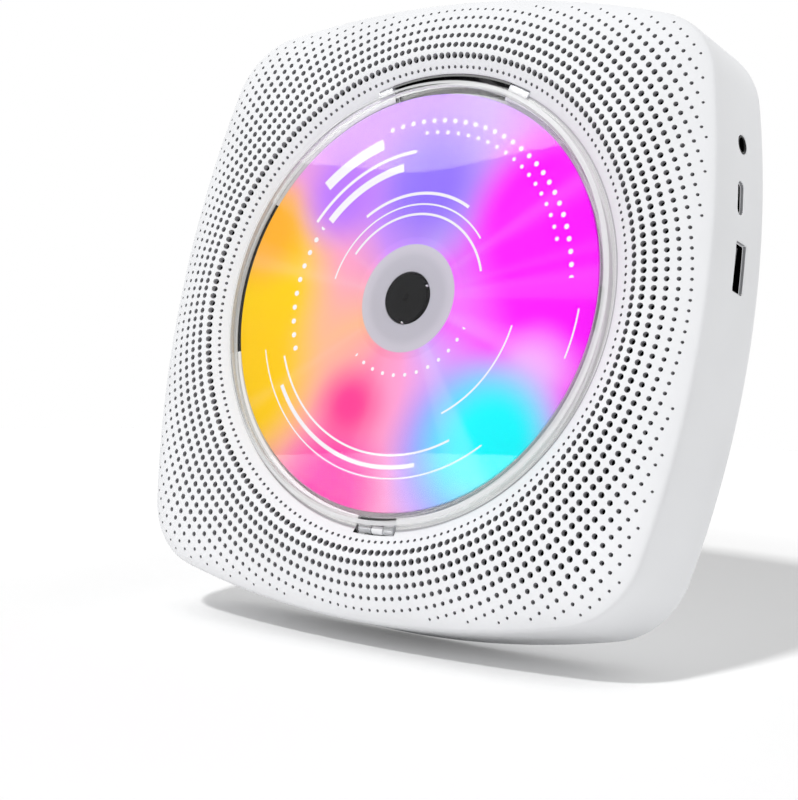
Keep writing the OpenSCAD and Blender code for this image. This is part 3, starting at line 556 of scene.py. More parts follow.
def through(knots: np.ndarray, steps: int) -> np.ndarray:
    """Run a smooth curve through knots, leaving out the first and last.

    Between knots b and c, with a before and d after them, it is the cubic that leaves b
    along (c - a) / 2 and reaches c along (d - b) / 2:
    (2b + (c-a)t + (2a-5b+4c-d)t^2 + (3b-a-3c+d)t^3) / 2.

    Args:
        knots: Array of shape (n, ...), with at least four knots.
        steps: Points between two knots.

    Returns:
        Points on the curve from the second knot to the last but one.
    """
    a, b, c, d = knots[:-3], knots[1:-2], knots[2:-1], knots[3:]
    runs = []
    for step in range(steps):
        t = step / steps
        runs.append((2 * b + (c - a) * t + (2 * a - 5 * b + 4 * c - d) * t ** 2
                     + (3 * b - a - 3 * c + d) * t ** 3) / 2)
    out = np.stack(runs, axis=1).reshape(-1, *knots.shape[1:])
    return np.concatenate([out, knots[-2:-1]])


def along_x(loop: np.ndarray, stations: Sequence[float],
            shrink: Sequence[float]) -> np.ndarray:
    """Carry a loop along x; at each station it is drawn in towards its middle.

    Args:
        loop: The loop's y and z, of shape (n, 2).
        stations: Places along x.
        shrink: How far the loop is drawn in at each, in millimetres.

    Returns:
        Rings of shape (stations, n, 3).
    """
    middle = loop.mean(axis=0)
    apart = loop - middle
    reach = np.hypot(*apart.T)[:, None]
    rings = [np.concatenate([np.full((len(loop), 1), x), middle + apart * (1 - s / reach)],
                            axis=1) for x, s in zip(stations, shrink)]
    return np.stack(rings)


def dress(piece: bpy.types.Object, *materials: bpy.types.Material) -> None:
    """Put materials on a piece by skin number; a single one goes on every slot."""
    kept = piece.data.materials
    for number in range(max(len(kept), len(materials))):
        material = materials[min(number, len(materials) - 1)]
        if number < len(kept):
            kept[number] = material
        else:
            kept.append(material)


def place(piece: bpy.types.Object, body: str, slot: str,
          material: bpy.types.Material | Sequence[bpy.types.Material], *nodes: str) -> None:
    """Dress a new piece, set it on its body and hide the nodes that it replaces.

    Args:
        piece: The new piece.
        body: Body that it moves with.
        slot: The record's material slot; not used.
        material: Its material, or one for each skin.
        *nodes: The nodes that it replaces.
    """
    dress(piece, *(material if isinstance(material, (list, tuple)) else [material]))
    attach(piece, body)
    if nodes:
        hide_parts(*nodes)
    LOG.info("%s: %d faces on %s", piece.name, len(piece.data.polygons), body)


# ---------------------------------------------------------------- housing

@dataclass
class Outline:
    """The four-sided outline of tangent arcs that the housing follows."""

    half: float = 88.85  # from the middle to a side's middle
    side_r: float = 286.7
    corner_r: float = 22.7

    def __post_init__(self) -> None:
        """Work out the centres of the arcs and the angle at which they join."""
        self.side_c = self.half - self.side_r
        self.corner_c = (self.side_c + math.sqrt(
            2 * (self.side_r - self.corner_r) ** 2 - self.side_c ** 2)) / 2
        self.join = math.atan2(self.corner_c, self.corner_c - self.side_c)

    @staticmethod
    def fold(angle: np.ndarray) -> np.ndarray:
        """Fold degrees into the eighth of a turn from a side's middle to a corner."""
        b = np.mod(angle, 90.0)
        return np.radians(np.where(b > 45.0, 90.0 - b, b))

    def reach(self, angle: np.ndarray, off: Any = 0.0) -> np.ndarray:
        """Distance from the middle to the outline.

        On a side it is c cos b + sqrt((R + off)^2 - (c sin b)^2), and on a corner
        k (cos b + sin b) + sqrt((r + off)^2 - (k (cos b - sin b))^2).

        Args:
            angle: Directions in degrees.
            off: How far the outline is moved outwards.

        Returns:
            The distances.
        """
        b = self.fold(angle)
        sine, cosine = np.sin(b), np.cos(b)
        side = self.side_c * cosine + np.sqrt(
            (self.side_r + off) ** 2 - (self.side_c * sine) ** 2)
        bend = (self.corner_r + off) ** 2 - (self.corner_c * (cosine - sine)) ** 2
        corner = self.corner_c * (cosine + sine) + np.sqrt(np.maximum(bend, 0.0))
        on_side = np.arctan2(side * sine, side * cosine - self.side_c) <= self.join
        return np.where(on_side, side, corner)

    def gap(self, reach: np.ndarray, angle: np.ndarray) -> np.ndarray:
        """Distance from points of the face to the outline, square to it."""
        b = self.fold(angle)
        x, y = reach * np.cos(b), reach * np.sin(b)
        on_side = np.arctan2(y, x - self.side_c) <= self.join
        return np.where(on_side, self.side_r - np.hypot(x - self.side_c, y),
                        self.corner_r - np.hypot(x - self.corner_c, y - self.corner_c))


class Mouth(Enum):
    """Shapes of the openings in the side wall."""

    ROUND = "round"
    STADIUM = "stadium"
    SQUARE = "square"


@dataclass(frozen=True)
class Opening:
    """One opening in the side wall: its middle along and up the wall, and its size."""

    mouth: Mouth
    along: float
    height: float
    wide: float
    tall: float
    on_top: bool = False
    lead: float = 0.25  # the width of its softened edge
    corner_r: float = 0.35
    least_r: float = 0.08

    def contour(self, count: int, grow: float) -> np.ndarray:
        """Points round the opening, starting at its lowest corner.

        A rounded rectangle: the point at direction t is q(t) = c + m + k (cos t, sin t),
        where k is the corner radius and m the corner's centre on that side.

        Args:
            count: Number of points.
            grow: How far the opening is widened all round.

        Returns:
            Distances along the wall and heights, of shape (count, 2).
        """
        half = np.array([self.wide / 2 + grow, self.tall / 2 + grow])
        bend = (max(self.corner_r + grow, self.least_r) if self.mouth is Mouth.SQUARE
                else float(min(half)))
        t = np.radians(-135.0 + np.arange(720) * 0.5)
        unit = np.stack([np.cos(t), np.sin(t)], axis=1)
        dense = np.sign(np.round(unit, 9)) * (half - bend) + bend * unit
        dense = np.concatenate([dense, dense[:1]])
        steps = np.concatenate([[0.0], np.cumsum(np.hypot(*np.diff(dense, axis=0).T))])
        at = np.arange(count) * steps[-1] / count
        run = np.stack([np.interp(at, steps, dense[:, i]) for i in (0, 1)], axis=1)
        return run + np.array([self.along, self.height])


@dataclass(frozen=True)
class Hinge:
    """The cover's hinge: a barrel along x, whose knuckles each close with a tail."""

    axis: tuple[float, float] = (-64.6, 31.5)  # its y and z
    barrel_r: float = 1.15
    bevel: float = 0.15

    def knuckle(self, sheet: Sheet, low: float, high: float, arc: tuple[int, int],
                tail: Sequence[tuple[float, float]], skin: int = 0) -> None:
        """Add a knuckle: an arc of the barrel closed by its tail, carried along x.

        Args:
            sheet: The surface that it is added to.
            low: Where it starts along x.
            high: Where it ends along x.
            arc: The arc's first and last direction in degrees.
            tail: The points, y and z, that close the loop.
            skin: Its material number.
        """
        turn = np.radians(np.arange(arc[0], arc[1] + 1, 15))
        bend = np.array(self.axis) + self.barrel_r * np.stack(
            [np.cos(turn), np.sin(turn)], axis=1)
        stations = (low, low + self.bevel, high - self.bevel, high)
        sheet.bar(along_x(np.concatenate([bend, tail]), stations,
                          (self.bevel, 0.0, 0.0, self.bevel)), skin=skin)


@dataclass
class Housing:
    """The white front moulding with its perforated face, well and side wall."""

    outline: Outline = field(default_factory=Outline)
    ring_r: float = 68.0  # the innermost ring of holes
    ring_pitch: float = 3.0
    ring_count: int = 13
    ring_holes: int = 200
    hole_step: float = 1.8  # degrees between two holes of a ring
    ray_step: float = 0.6  # degrees between two columns of the mesh
    hole_d: float = 1.75
    hole_d_edge: float = 0.5
    hole_fade: float = 17.0  # distance from the outline over which the holes shrink
    hole_margin: float = 1.8
    lip_hole_d: float = 0.95
    grille_t: float = 1.6
    edge_z: float = 29.4
    crest_z: float = 34.9
    crest_r: float = 72.5
    edge_roll: float = 1.6
    roll_reach: float = 2.5
    side_power: float = 1.36
    power_gain: float = 1.04  # from a side to a corner
    crest_fold: float = 0.12
    fold_lift: float = 0.02
    lip_z: float = 31.4
    well_r: float = 64.9
    cut_r: float = 66.2  # the slope's end at the notch and at the tabs
    pocket_r: float = 66.15
    land_r: float = 64.4
    ledge_out_r: float = 63.0
    ledge_r: float = 61.2
    ledge_z: float = 31.2
    floor_z: float = 29.5
    slot_r: float = 62.4
    notch_z: float = 27.5
    slot_z: float = 27.6
    seam: float = 0.9
    wall_t: float = 2.2
    back_z: float = 0.8
    flare_z: float = 26.5
    flare_off: float = 0.6
    flare: float = 0.84  # how much wider the wall is at the back than at flare_z
    block: float = 1.3  # how far the mesh is cut out round an opening
    side_span: float = 50.0  # degrees that a side takes up, to either side of its middle
    openings: tuple[Opening, ...] = (
        Opening(Mouth.ROUND, 49.5, 14.0, 5.2, 5.2),
        Opening(Mouth.STADIUM, 34.5, 15.0, 9.14, 3.4),
        Opening(Mouth.SQUARE, 16.1, 13.2, 13.5, 5.8),
        *(Opening(Mouth.ROUND, x, 13.0, 8.5, 8.5, True) for x in (-36.0, -18.0, 0.0, 18.0,
                                                                  36.0)))

    # Skins of the moulding: the first is its own white, the second a grey of painted shade on
    # the hole walls and in the gap beside the lip, the third gloss black painted as shade in
    # the finger notch, the slot and the hinge's pocket.
    WHITE = 0
    PAINTED_SHADE_SKIN = 1
    BLACK = 2

    def rays(self) -> np.ndarray:
        """Directions of the mesh's columns in degrees, three to a column of holes."""
        return self.ray_step / 2 + self.ray_step * np.arange(3 * self.ring_holes)

    def slope_z(self, reach: np.ndarray) -> np.ndarray:
        """Height of the straight slope from the lip up to the crest."""
        rise = (self.crest_z - self.lip_z) / (self.crest_r - self.well_r)
        return self.lip_z + (reach - self.well_r) * rise

    def face_z(self, reach: np.ndarray, angle: np.ndarray) -> np.ndarray:
        """Height of the crowned face.

        With w the share of the way from the crest to the edge, it is
        crest - fall w^f - roll exp(-(1 - w) span / reach), where f grows from a side to a
        corner. The slope inside the crest meets it over a soft fold: the lower of the two,
        less (sqrt(d^2 + fold) - |d|) / 2 for their difference d, raised by a
        small lift.

        Args:
            reach: Distances from the middle.
            angle: Directions in degrees.

        Returns:
            The heights.
        """
        span = self.outline.reach(angle) - self.crest_r
        sides = self.outline.reach(np.array([0.0, 45.0])) - self.crest_r
        share = np.maximum((reach - self.crest_r) / span, 0.0)
        power = self.side_power + self.power_gain * (span - sides[0]) / (sides[1] - sides[0])
        fall = self.crest_z - self.edge_z - self.edge_roll
        crown = (self.crest_z - fall * share ** power
                 - self.edge_roll * np.exp(-(1 - share) * span / self.roll_reach))
        slope = self.slope_z(reach)
        apart = crown - slope
        return (crown + slope - np.sqrt(apart ** 2 + self.crest_fold)) / 2 + self.fold_lift

    def side_off(self, height: np.ndarray) -> np.ndarray:
        """How far the side wall stands outside the front edge at a height."""
        return self.flare_off + self.flare * (self.flare_z - height) / (
            self.flare_z - self.back_z)

    def on_face(self, reach: np.ndarray, angle: np.ndarray) -> np.ndarray:
        """Points of the face at these distances and directions."""
        return carried(np.stack([reach, self.face_z(reach, angle)], axis=-1), angle)

    def tiles(self, sheet: Sheet) -> None:
        """Add the face outside the lip, tile by tile, with a drilled hole in most.

        A tile spans one column of holes and one ring. It is a grid of 4 by 4 points, and
        where it has a hole its 12 outer points are joined to the hole's 12.

        Args:
            sheet: The surface that the tiles are added to.
        """
        column = np.arange(self.ring_holes)[:, None, None, None]
        ring = np.arange(self.ring_count)[None, :, None, None]
        across = np.arange(4)[None, None, :, None]
        out = np.arange(4)[None, None, None, :]
        angle = np.broadcast_to(
            self.hole_step * column - self.hole_step / 2 + self.ray_step * across,
            (self.ring_holes, self.ring_count, 4, 4))
        start = self.ring_r - self.ring_pitch / 2 + self.ring_pitch * ring
        limit = self.outline.reach(angle, -self.seam)
        low = np.minimum(start, limit)
        high = np.where(ring == self.ring_count - 1, limit,
                        np.minimum(start + self.ring_pitch, limit))
        grid = self.on_face(low + (high - low) * out / 3, angle)

        centre_a = np.broadcast_to(self.hole_step * column[..., 0, 0],
                                   (self.ring_holes, self.ring_count))
        centre_r = np.broadcast_to(self.ring_r + self.ring_pitch * ring[..., 0, 0],
                                   centre_a.shape)
        gap = self.outline.gap(centre_r, centre_a)
        wide = self.hole_d_edge + (self.hole_d - self.hole_d_edge) * np.sin(
            np.pi / 2 * np.clip(gap / self.hole_fade, 0, 1))
        wide[:, 0] = self.lip_hole_d
        drilled = gap >= self.hole_margin

        tile = cells(np.arange(16).reshape(4, 4)).reshape(-1, 4)[:, ::-1]
        plain = grid[~drilled].reshape(-1, 16, 3)
        sheet.add(plain, tile[None] + 16 * np.arange(len(plain))[:, None, None])

        border = [(0, 0), (1, 0), (2, 0), (3, 0), (3, 1), (3, 2), (3, 3), (2, 3), (1, 3),
                  (0, 3), (0, 2), (0, 1)]
        rim = np.stack([grid[drilled][:, i, j] for i, j in border], axis=1)
        way = np.radians(-135.0 + 30.0 * np.arange(12))[None]
        turn = np.radians(centre_a[drilled])[:, None]
        reach, size = centre_r[drilled][:, None], wide[drilled][:, None] / 2
        u, v = size * np.cos(way), reach + size * np.sin(way)
        x = v * np.cos(turn) - u * np.sin(turn)
        y = v * np.sin(turn) + u * np.cos(turn)
        hole = self.on_face(np.hypot(x, y), np.degrees(np.arctan2(y, x)) % 360.0)
        deep = hole - np.array([0.0, 0.0, self.grille_t])
        loops = np.stack([rim, hole, deep], axis=1)
        i = np.arange(12)
        j = (i + 1) % 12
        walls = np.concatenate([
            np.stack([12 * k + i, 12 * k + j, 12 * k + 12 + j, 12 * k + 12 + i], axis=-1)
            for k in (0, 1)])
        # The walls of the holes take the grey of painted shade.
        sheet.add(loops, walls[None] + 36 * np.arange(len(loops))[:, None, None],
                  np.tile(np.repeat([self.WHITE, self.PAINTED_SHADE_SKIN], 12), len(loops)))

    def lip(self, sheet: Sheet) -> None:
        """Add the slope's foot, the lip, the ledge and the well's wall.

        Each direction has a profile of twelve points, and it changes at the finger notch,
        at the tabs beside it, at the slot on the left and at the hinge's pocket. A height
        of 0 in a profile stands for the slope's own height there.

        Args:
            sheet: The surface that it is added to.
        """
        foot = self.ring_r - self.ring_pitch / 2
        top, low = self.ledge_z, self.floor_z
        ledge = [(self.ledge_out_r, top), (61.5, top), (61.28, top - 0.05),
                 (self.ledge_r, top - 0.16), (self.ledge_r, low)]

        def end(edge: float) -> list[tuple[float, float]]:
            """The slope cut off at a radius, with a small rounded edge."""
            high = float(self.slope_z(np.array(edge)))
            return [(foot, 0.0), (edge + 0.22, 0.0), (edge + 0.08, high), (edge, high - 0.1)]

        whole = [(foot, 0.0), (65.5, 0.0), (65.1, 0.0), (64.96, self.lip_z),
                 (self.well_r, 31.34), (self.well_r, top), (self.land_r, top)] + ledge
        slot = whole[:6] + [(self.slot_r + 0.2, top), (self.slot_r, top - 0.12)] \
            + [(self.slot_r, self.slot_z)] * 4
        notch = end(self.cut_r) + [(self.cut_r, self.notch_z)] * 8
        tabs = end(self.cut_r) + [(self.cut_r, low), (self.land_r, low),
                                  (self.land_r, top)] + ledge
        pocket = end(self.pocket_r) + [(self.pocket_r, low)] + [(self.ledge_r, low)] * 7
        plain = [self.WHITE] * 11
        with_painted_shade = [self.WHITE] * 4 + [self.PAINTED_SHADE_SKIN] * 2 + [self.WHITE] * 5
        lined = [self.WHITE] * 3 + [self.BLACK] * 8
        # Where each profile starts, in degrees, with the skins of its eleven strips. The gap
        # beside the lip takes a grey of painted shade, and gloss black is painted as shade in
        # the notch, the slot and the hinge's pocket.
        turns = [(-0.3, whole, with_painted_shade), (64.5, tabs, plain), (71.1, notch, lined),
                 (107.1, tabs, plain), (111.3, whole, with_painted_shade),
                 (153.9, slot, with_painted_shade[:7] + [self.BLACK] * 4), (197.1, whole, with_painted_shade),
                 (266.1, pocket, plain[:3] + [self.BLACK] + plain[:7]),
                 (267.9, pocket, lined), (278.1, whole, with_painted_shade), (360.3, whole, with_painted_shade)]
        angles, shapes, skins = [], [], []
        for (start, shape, skin), (stop, _, _) in zip(turns[:-1], turns[1:]):
            steps = int(round((stop - start) / self.ray_step)) + 1
            angles.append(start + self.ray_step * np.arange(steps))
            shapes.append(np.broadcast_to(np.array(shape), (steps, 12, 2)))
            skins.append(np.broadcast_to(np.array(skin), (steps, 11)))
        angle = np.concatenate(angles)[:, None] + np.zeros((1, 12))
        shape = np.concatenate(shapes)
        on_slope = self.on_face(shape[..., 0], angle)[..., 2]
        height = np.where(shape[..., 1] == 0.0, on_slope, shape[..., 1])
        points = carried(np.stack([shape[..., 0], height], axis=-1), angle)
        every = np.concatenate(skins)
        sheet.grid(points, skin=np.maximum(every[:-1], every[1:]))

    def wall(self, sheet: Sheet) -> None:
        """Add the rounded front edge and the flared side wall, with its openings.

        The edge is a smooth curve through offsets from the outline. Below it the wall is a
        grid of directions by heights, from which a block is taken out at each opening.

        Args:
            sheet: The surface that it is added to.
        """
        ray = self.rays()

        def ring_at(off: Any, height: Any) -> np.ndarray:
            """Points of the outline moved outwards, at a height or else on the face."""
            reach = self.outline.reach(ray, off)
            z = self.face_z(reach, ray) if height is None else np.full_like(reach, height)
            return carried(np.stack([reach, z], axis=-1), ray)

        # Offsets from the outline with their heights, from the face down and to the inside.
        knots = ((-2.0, None), (-self.seam, None), (0.0, self.edge_z), (0.42, 28.3),
                 (self.flare_off, self.flare_z), (0.67, 24.5))
        edge = through(np.stack([ring_at(*knot) for knot in knots]), 4)
        heights = np.array([self.flare_z, 24.5, 22.5, *np.arange(21.0, 4.0, -1.0), 3.0, 2.2])
        sides = np.stack([ring_at(self.side_off(z), z) for z in heights])
        back = self.side_off(np.array(self.back_z))
        inside = back - self.wall_t
        turns = ((self.side_off(heights[-1]), heights[-1]), (back - 0.12, 1.55),
                 (back - 0.4, 1.05), (back - 0.8, self.back_z), (inside, self.back_z),
                 (inside - 0.1, 4.0))
        foot = np.stack([ring_at(*turn) for turn in turns])
        sheet.grid(edge, around=True, flip=True)
        sheet.grid(foot, around=True, flip=True)
        keep = np.ones((len(heights) - 1, len(ray)), dtype=bool)
        for opening in self.openings:
            self.mouth(sheet, opening, heights, sides, keep)
        sheet.grid(sides, around=True, flip=True, keep=keep)

    def mouth(self, sheet: Sheet, opening: Opening, heights: np.ndarray, sides: np.ndarray,
              keep: np.ndarray) -> None:
        """Take a block out of the side wall and fill it with an opening's surround.

        The block's border is joined to the contour by rings that lie on the wall, where
        x = c + sqrt((R + off(z))^2 - y^2), and the contour runs in through the wall.

        Args:
            sheet: The surface that it is added to.
            opening: The opening.
            heights: Heights of the grid's rows.
            sides: The grid's points.
            keep: The grid's cells, from which the block is taken.
        """
        run = 0 if opening.on_top else 1
        ray = np.degrees(np.arctan2(sides[0, :, 1], sides[0, :, 0])) % 360.0
        near = ray if opening.on_top else (ray + 180.0) % 360.0
        middle = 90.0 if opening.on_top else 180.0
        here = np.abs(near - middle) < self.side_span
        close = np.abs(sides[0, :, run] - opening.along) < opening.wide / 2 + self.block
        columns = np.nonzero(here & close)[0]
        columns = columns[np.argsort(near[columns])]
        rows = np.nonzero(
            np.abs(heights - opening.height) < opening.tall / 2 + self.block)[0]
        keep[np.ix_(rows[:-1], columns[:-1])] = False
        if opening.on_top:
            columns = columns[::-1]
        low, high, left, right = rows[-1], rows[0], columns[0], columns[-1]
        border = np.concatenate([sides[low, columns[:-1]], sides[rows[::-1][:-1], right],
                                 sides[high, columns[::-1][:-1]], sides[rows[:-1], left]])
        outer = border[:, [run, 2]]
        wide = opening.contour(len(border), opening.lead)
        shift = np.argmin(np.hypot(*(wide - outer[0]).T))
        wide = np.roll(wide, -shift, axis=0)
        snug = np.roll(opening.contour(len(border), 0.0), -shift, axis=0)
        rings = [border, self.on_wall(opening, (outer + wide) / 2, 0.0),
                 self.on_wall(opening, wide, 0.0),
                 self.on_wall(opening, snug, opening.lead * 0.8),
                 self.on_wall(opening, snug, self.wall_t)]
        sheet.grid(np.stack(rings), around=True, flip=opening.on_top)

    def on_wall(self, opening: Opening, spot: np.ndarray, deep: float) -> np.ndarray:
        """Points of the side wall, x = c + sqrt((R + off(z))^2 - y^2) - deep.

        Args:
            opening: The opening, which says whether the wall is the top one.
            spot: Distances along the wall and heights, of shape (n, 2).
            deep: How far the points are set into the wall.

        Returns:
            Points of shape (n, 3).
        """
        off = self.side_off(spot[:, 1])
        out = self.outline.side_c + np.sqrt(
            (self.outline.side_r + off) ** 2 - spot[:, 0] ** 2) - deep
        flat = (spot[:, 0], out) if opening.on_top else (out, spot[:, 0])
        return np.stack([*flat, spot[:, 1]], axis=-1)

    def collar(self, name: str, opening: Opening,
               profile: Sequence[tuple[float, float, int]], slot: str,
               *materials: bpy.types.Material, nodes: Sequence[str] = ()) -> None:
        """Make a rounded collar that lines an opening.

        Args:
            name: Name of the piece.
            opening: The opening.
            profile: Growth from the opening's contour, depth in the wall and the skin
                that starts there, in turn.
            slot: The record's material slot.
            *materials: The skins' materials.
            nodes: The nodes that it replaces.
        """
        sheet = Sheet()
        rings = [self.on_wall(opening, opening.contour(96, grow), deep)
                 for grow, deep, _ in profile]
        sheet.grid(np.stack(rings), around=True, flip=opening.on_top,
                   skin=np.repeat([skin for _, _, skin in profile[:-1]], 96))
        place(sheet.make(name), "housing", slot, materials, *nodes)

    def blade(self, name: str, opening: Opening, deep: float, long: float, wide: float,
              thick: float, slot: str, *materials: bpy.types.Material) -> None:
        """Make a socket's contact blade, in the place of its node.

        Args:
            name: Name of the node; the piece is named after it.
            opening: The socket's opening.
            deep: How far inside the wall its front end is.
            long: Its length.
            wide: Its width along the wall.
            thick: Its thickness.
            slot: The record's material slot.
            *materials: The front's material and the rest's.
        """
        middle = np.array([[opening.along, opening.height]])
        front = float(self.on_wall(opening, middle, deep)[0, 0])
        half = np.array([wide / 2, thick / 2])
        loop = middle + np.array([(-1, -1), (1, -1), (1, 1), (-1, 1)]) * half
        sheet = Sheet()
        sheet.bar(along_x(loop, (front - long, front - 0.15, front), (0.0, 0.0, 0.12)),
                  skin=1, tip=0)
        place(sheet.make(name + "_blade"), "housing", slot, materials, name)

    def ear(self, white: bpy.types.Material) -> None:
        """Make the white ear that holds the hinge's pin."""
        sheet, hinge = Sheet(), Hinge()
        hinge.knuckle(sheet, 1.95, 5.65, (-90, 180),
                      [(-self.pocket_r, self.ledge_z), (-self.pocket_r, self.floor_z),
                       (hinge.axis[0], self.floor_z)])
        place(sheet.make("hinge_ear"), "housing", "white_housing", white)

    def build(self, materials: dict[str, bpy.types.Material]) -> None:
        """Make the moulding, the ear and the lining of each socket."""
        white, gloss = materials["white_housing"], materials["black_gloss"]
        # A grey of painted shade for the hole walls and the gap beside the lip.
        drilled = MouldedPlastic("hole_wall_painted_shade", tone(188, 188, 191), 0.6).material()
        sheet = Sheet()
        self.tiles(sheet)
        self.lip(sheet)
        self.wall(sheet)
        # Gloss black on the moulding is painted shade in the finger notch, the slot and the
        # hinge's pocket.
        place(sheet.make("front_moulding", sharp=40.0), "housing", "white_housing",
              (white, drilled, gloss), "front_grille", "front_shell", "disc_well")
        self.ear(white)
        # Painted light on the sockets: a lit copy and a shaded copy standing for their metal,
        # and gloss black painted as shade deep in the shells and in the gap round them.
        metal = (MouldedPlastic("shell_painted_light", tone(246, 246, 248), 0.25).material(),
                 MouldedPlastic("shell_painted_shade", tone(176, 177, 180), 0.3).material(), gloss)
        painted_highlight, with_painted_shade, painted_deep_shade = range(3)
        jack, power, stick = self.openings[:3]
        # Each spot of a collar's profile is its growth from the contour and its depth.
        roll = ((-0.03, 1.1), (-0.03, 0.32), (-0.1, 0.18), (-0.2, 0.12), (-0.45, 0.12),
                (-0.62, 0.2), (-0.76, 0.45), (-0.8, 0.9), (-0.8, 2.0))
        self.collar("jack_collar", jack, [(*spot, 0) for spot in roll], "black_plastic",
                    gloss)
        for name, opening, long in (("usb_a_port", stick, 14.0), ("usb_c_port", power, 8.0)):
            full = -opening.tall / 2
            self.collar(name + "_lining", opening,
                        ((0.0, 0.2, with_painted_shade), (-0.03, 0.2, with_painted_shade), (-0.06, 1.2, painted_deep_shade),
                         (-0.15, 1.2, painted_deep_shade), (0.0, 1.25, with_painted_shade), (0.0, 0.2, with_painted_shade)),
                        "steel", *metal)
            self.collar(name + "_shell", opening,
                        ((full, long, painted_deep_shade), (-0.12, long, painted_deep_shade), (-0.12, 0.95, painted_highlight),
                         (-0.18, 0.88, painted_highlight), (-0.42, 0.88, painted_highlight), (-0.48, 0.95, painted_deep_shade),
                         (-0.48, long - 1.0, painted_deep_shade), (full, long - 1.0, painted_deep_shade)),
                        "steel", *metal, nodes=(name,))
        # The tongue's front face is painted a lighter grey than its gloss black sides: a
        # painted highlight.
        tongue = MouldedPlastic("tongue_front_painted_highlight", tone(96, 96, 101), 0.4).material()
        self.blade("usb_a_tongue", stick, 1.7, 8.0, 11.1, 0.7, "black_plastic", tongue, gloss)


@dataclass(frozen=True)
class Spot:
    """A soft spot of colour in the print, full up to low and gone at high from its middle."""

    angle: float
    away: float
    low: float
    high: float
    colour: Colour


@dataclass(frozen=True)
class Arc:
    """A white arc in the print between two distances and two directions."""

    low: float
    high: float
    start: float
    end: float


@dataclass(frozen=True)
class DotRow:
    """White dots on a ring between two directions, of which count fill the whole ring."""

    ring: float
    count: int
    start: float
    end: float
    size: float


SWEEP = ((0.00, tone(250, 120, 255)), (0.12, tone(236, 110, 255)),
         (0.20, tone(206, 170, 255)), (0.26, tone(200, 150, 255)),
         (0.34, tone(212, 150, 255)), (0.43, tone(255, 166, 205)),
         (0.58, tone(255, 190, 150)), (0.68, tone(255, 150, 185)),
         (0.76, tone(255, 160, 210)), (0.84, tone(216, 170, 255)),
         (0.92, tone(246, 110, 255)), (1.00, tone(250, 120, 255)))
SPOTS = (Spot(88, 34, 5, 26, tone(150, 118, 255)), Spot(8, 58, 22, 44, tone(255, 0, 255)),
         Spot(30, 48, 14, 30, tone(255, 0, 255)), Spot(338, 48, 2, 16, tone(250, 160, 255)),
         Spot(180, 62, 20, 40, tone(255, 210, 0)), Spot(208, 60, 12, 32, tone(255, 205, 0)),
         Spot(162, 60, 6, 22, tone(255, 180, 40)), Spot(255, 58, 6, 24, tone(255, 0, 172)),
         Spot(247, 34, 2, 16, tone(255, 60, 150)), Spot(304, 50, 14, 30, tone(160, 160, 255)),
         Spot(312, 52, 8, 28, tone(0, 248, 255)), Spot(134, 42, 4, 20, tone(190, 124, 255)))
ARCS = (Arc(38.0, 40.4, 104, 146), Arc(42.8, 43.8, 98, 150), Arc(47.0, 50.4, 112, 138),
        Arc(24.0, 24.7, 20, 150), Arc(27.0, 27.5, 40, 170), Arc(30.0, 30.9, 60, 130),
        Arc(44.0, 44.6, 205, 300), Arc(47.0, 48.2, 215, 285), Arc(50.5, 50.9, 200, 310),
        Arc(55.0, 55.5, 345, 359), Arc(36.0, 36.5, 300, 350))
DOTS = (DotRow(52.0, 90, 8, 110, 0.75), DotRow(48.5, 84, 20, 96, 0.6),
        DotRow(40.0, 60, 150, 205, 0.8), DotRow(22.0, 36, 230, 340, 0.55))


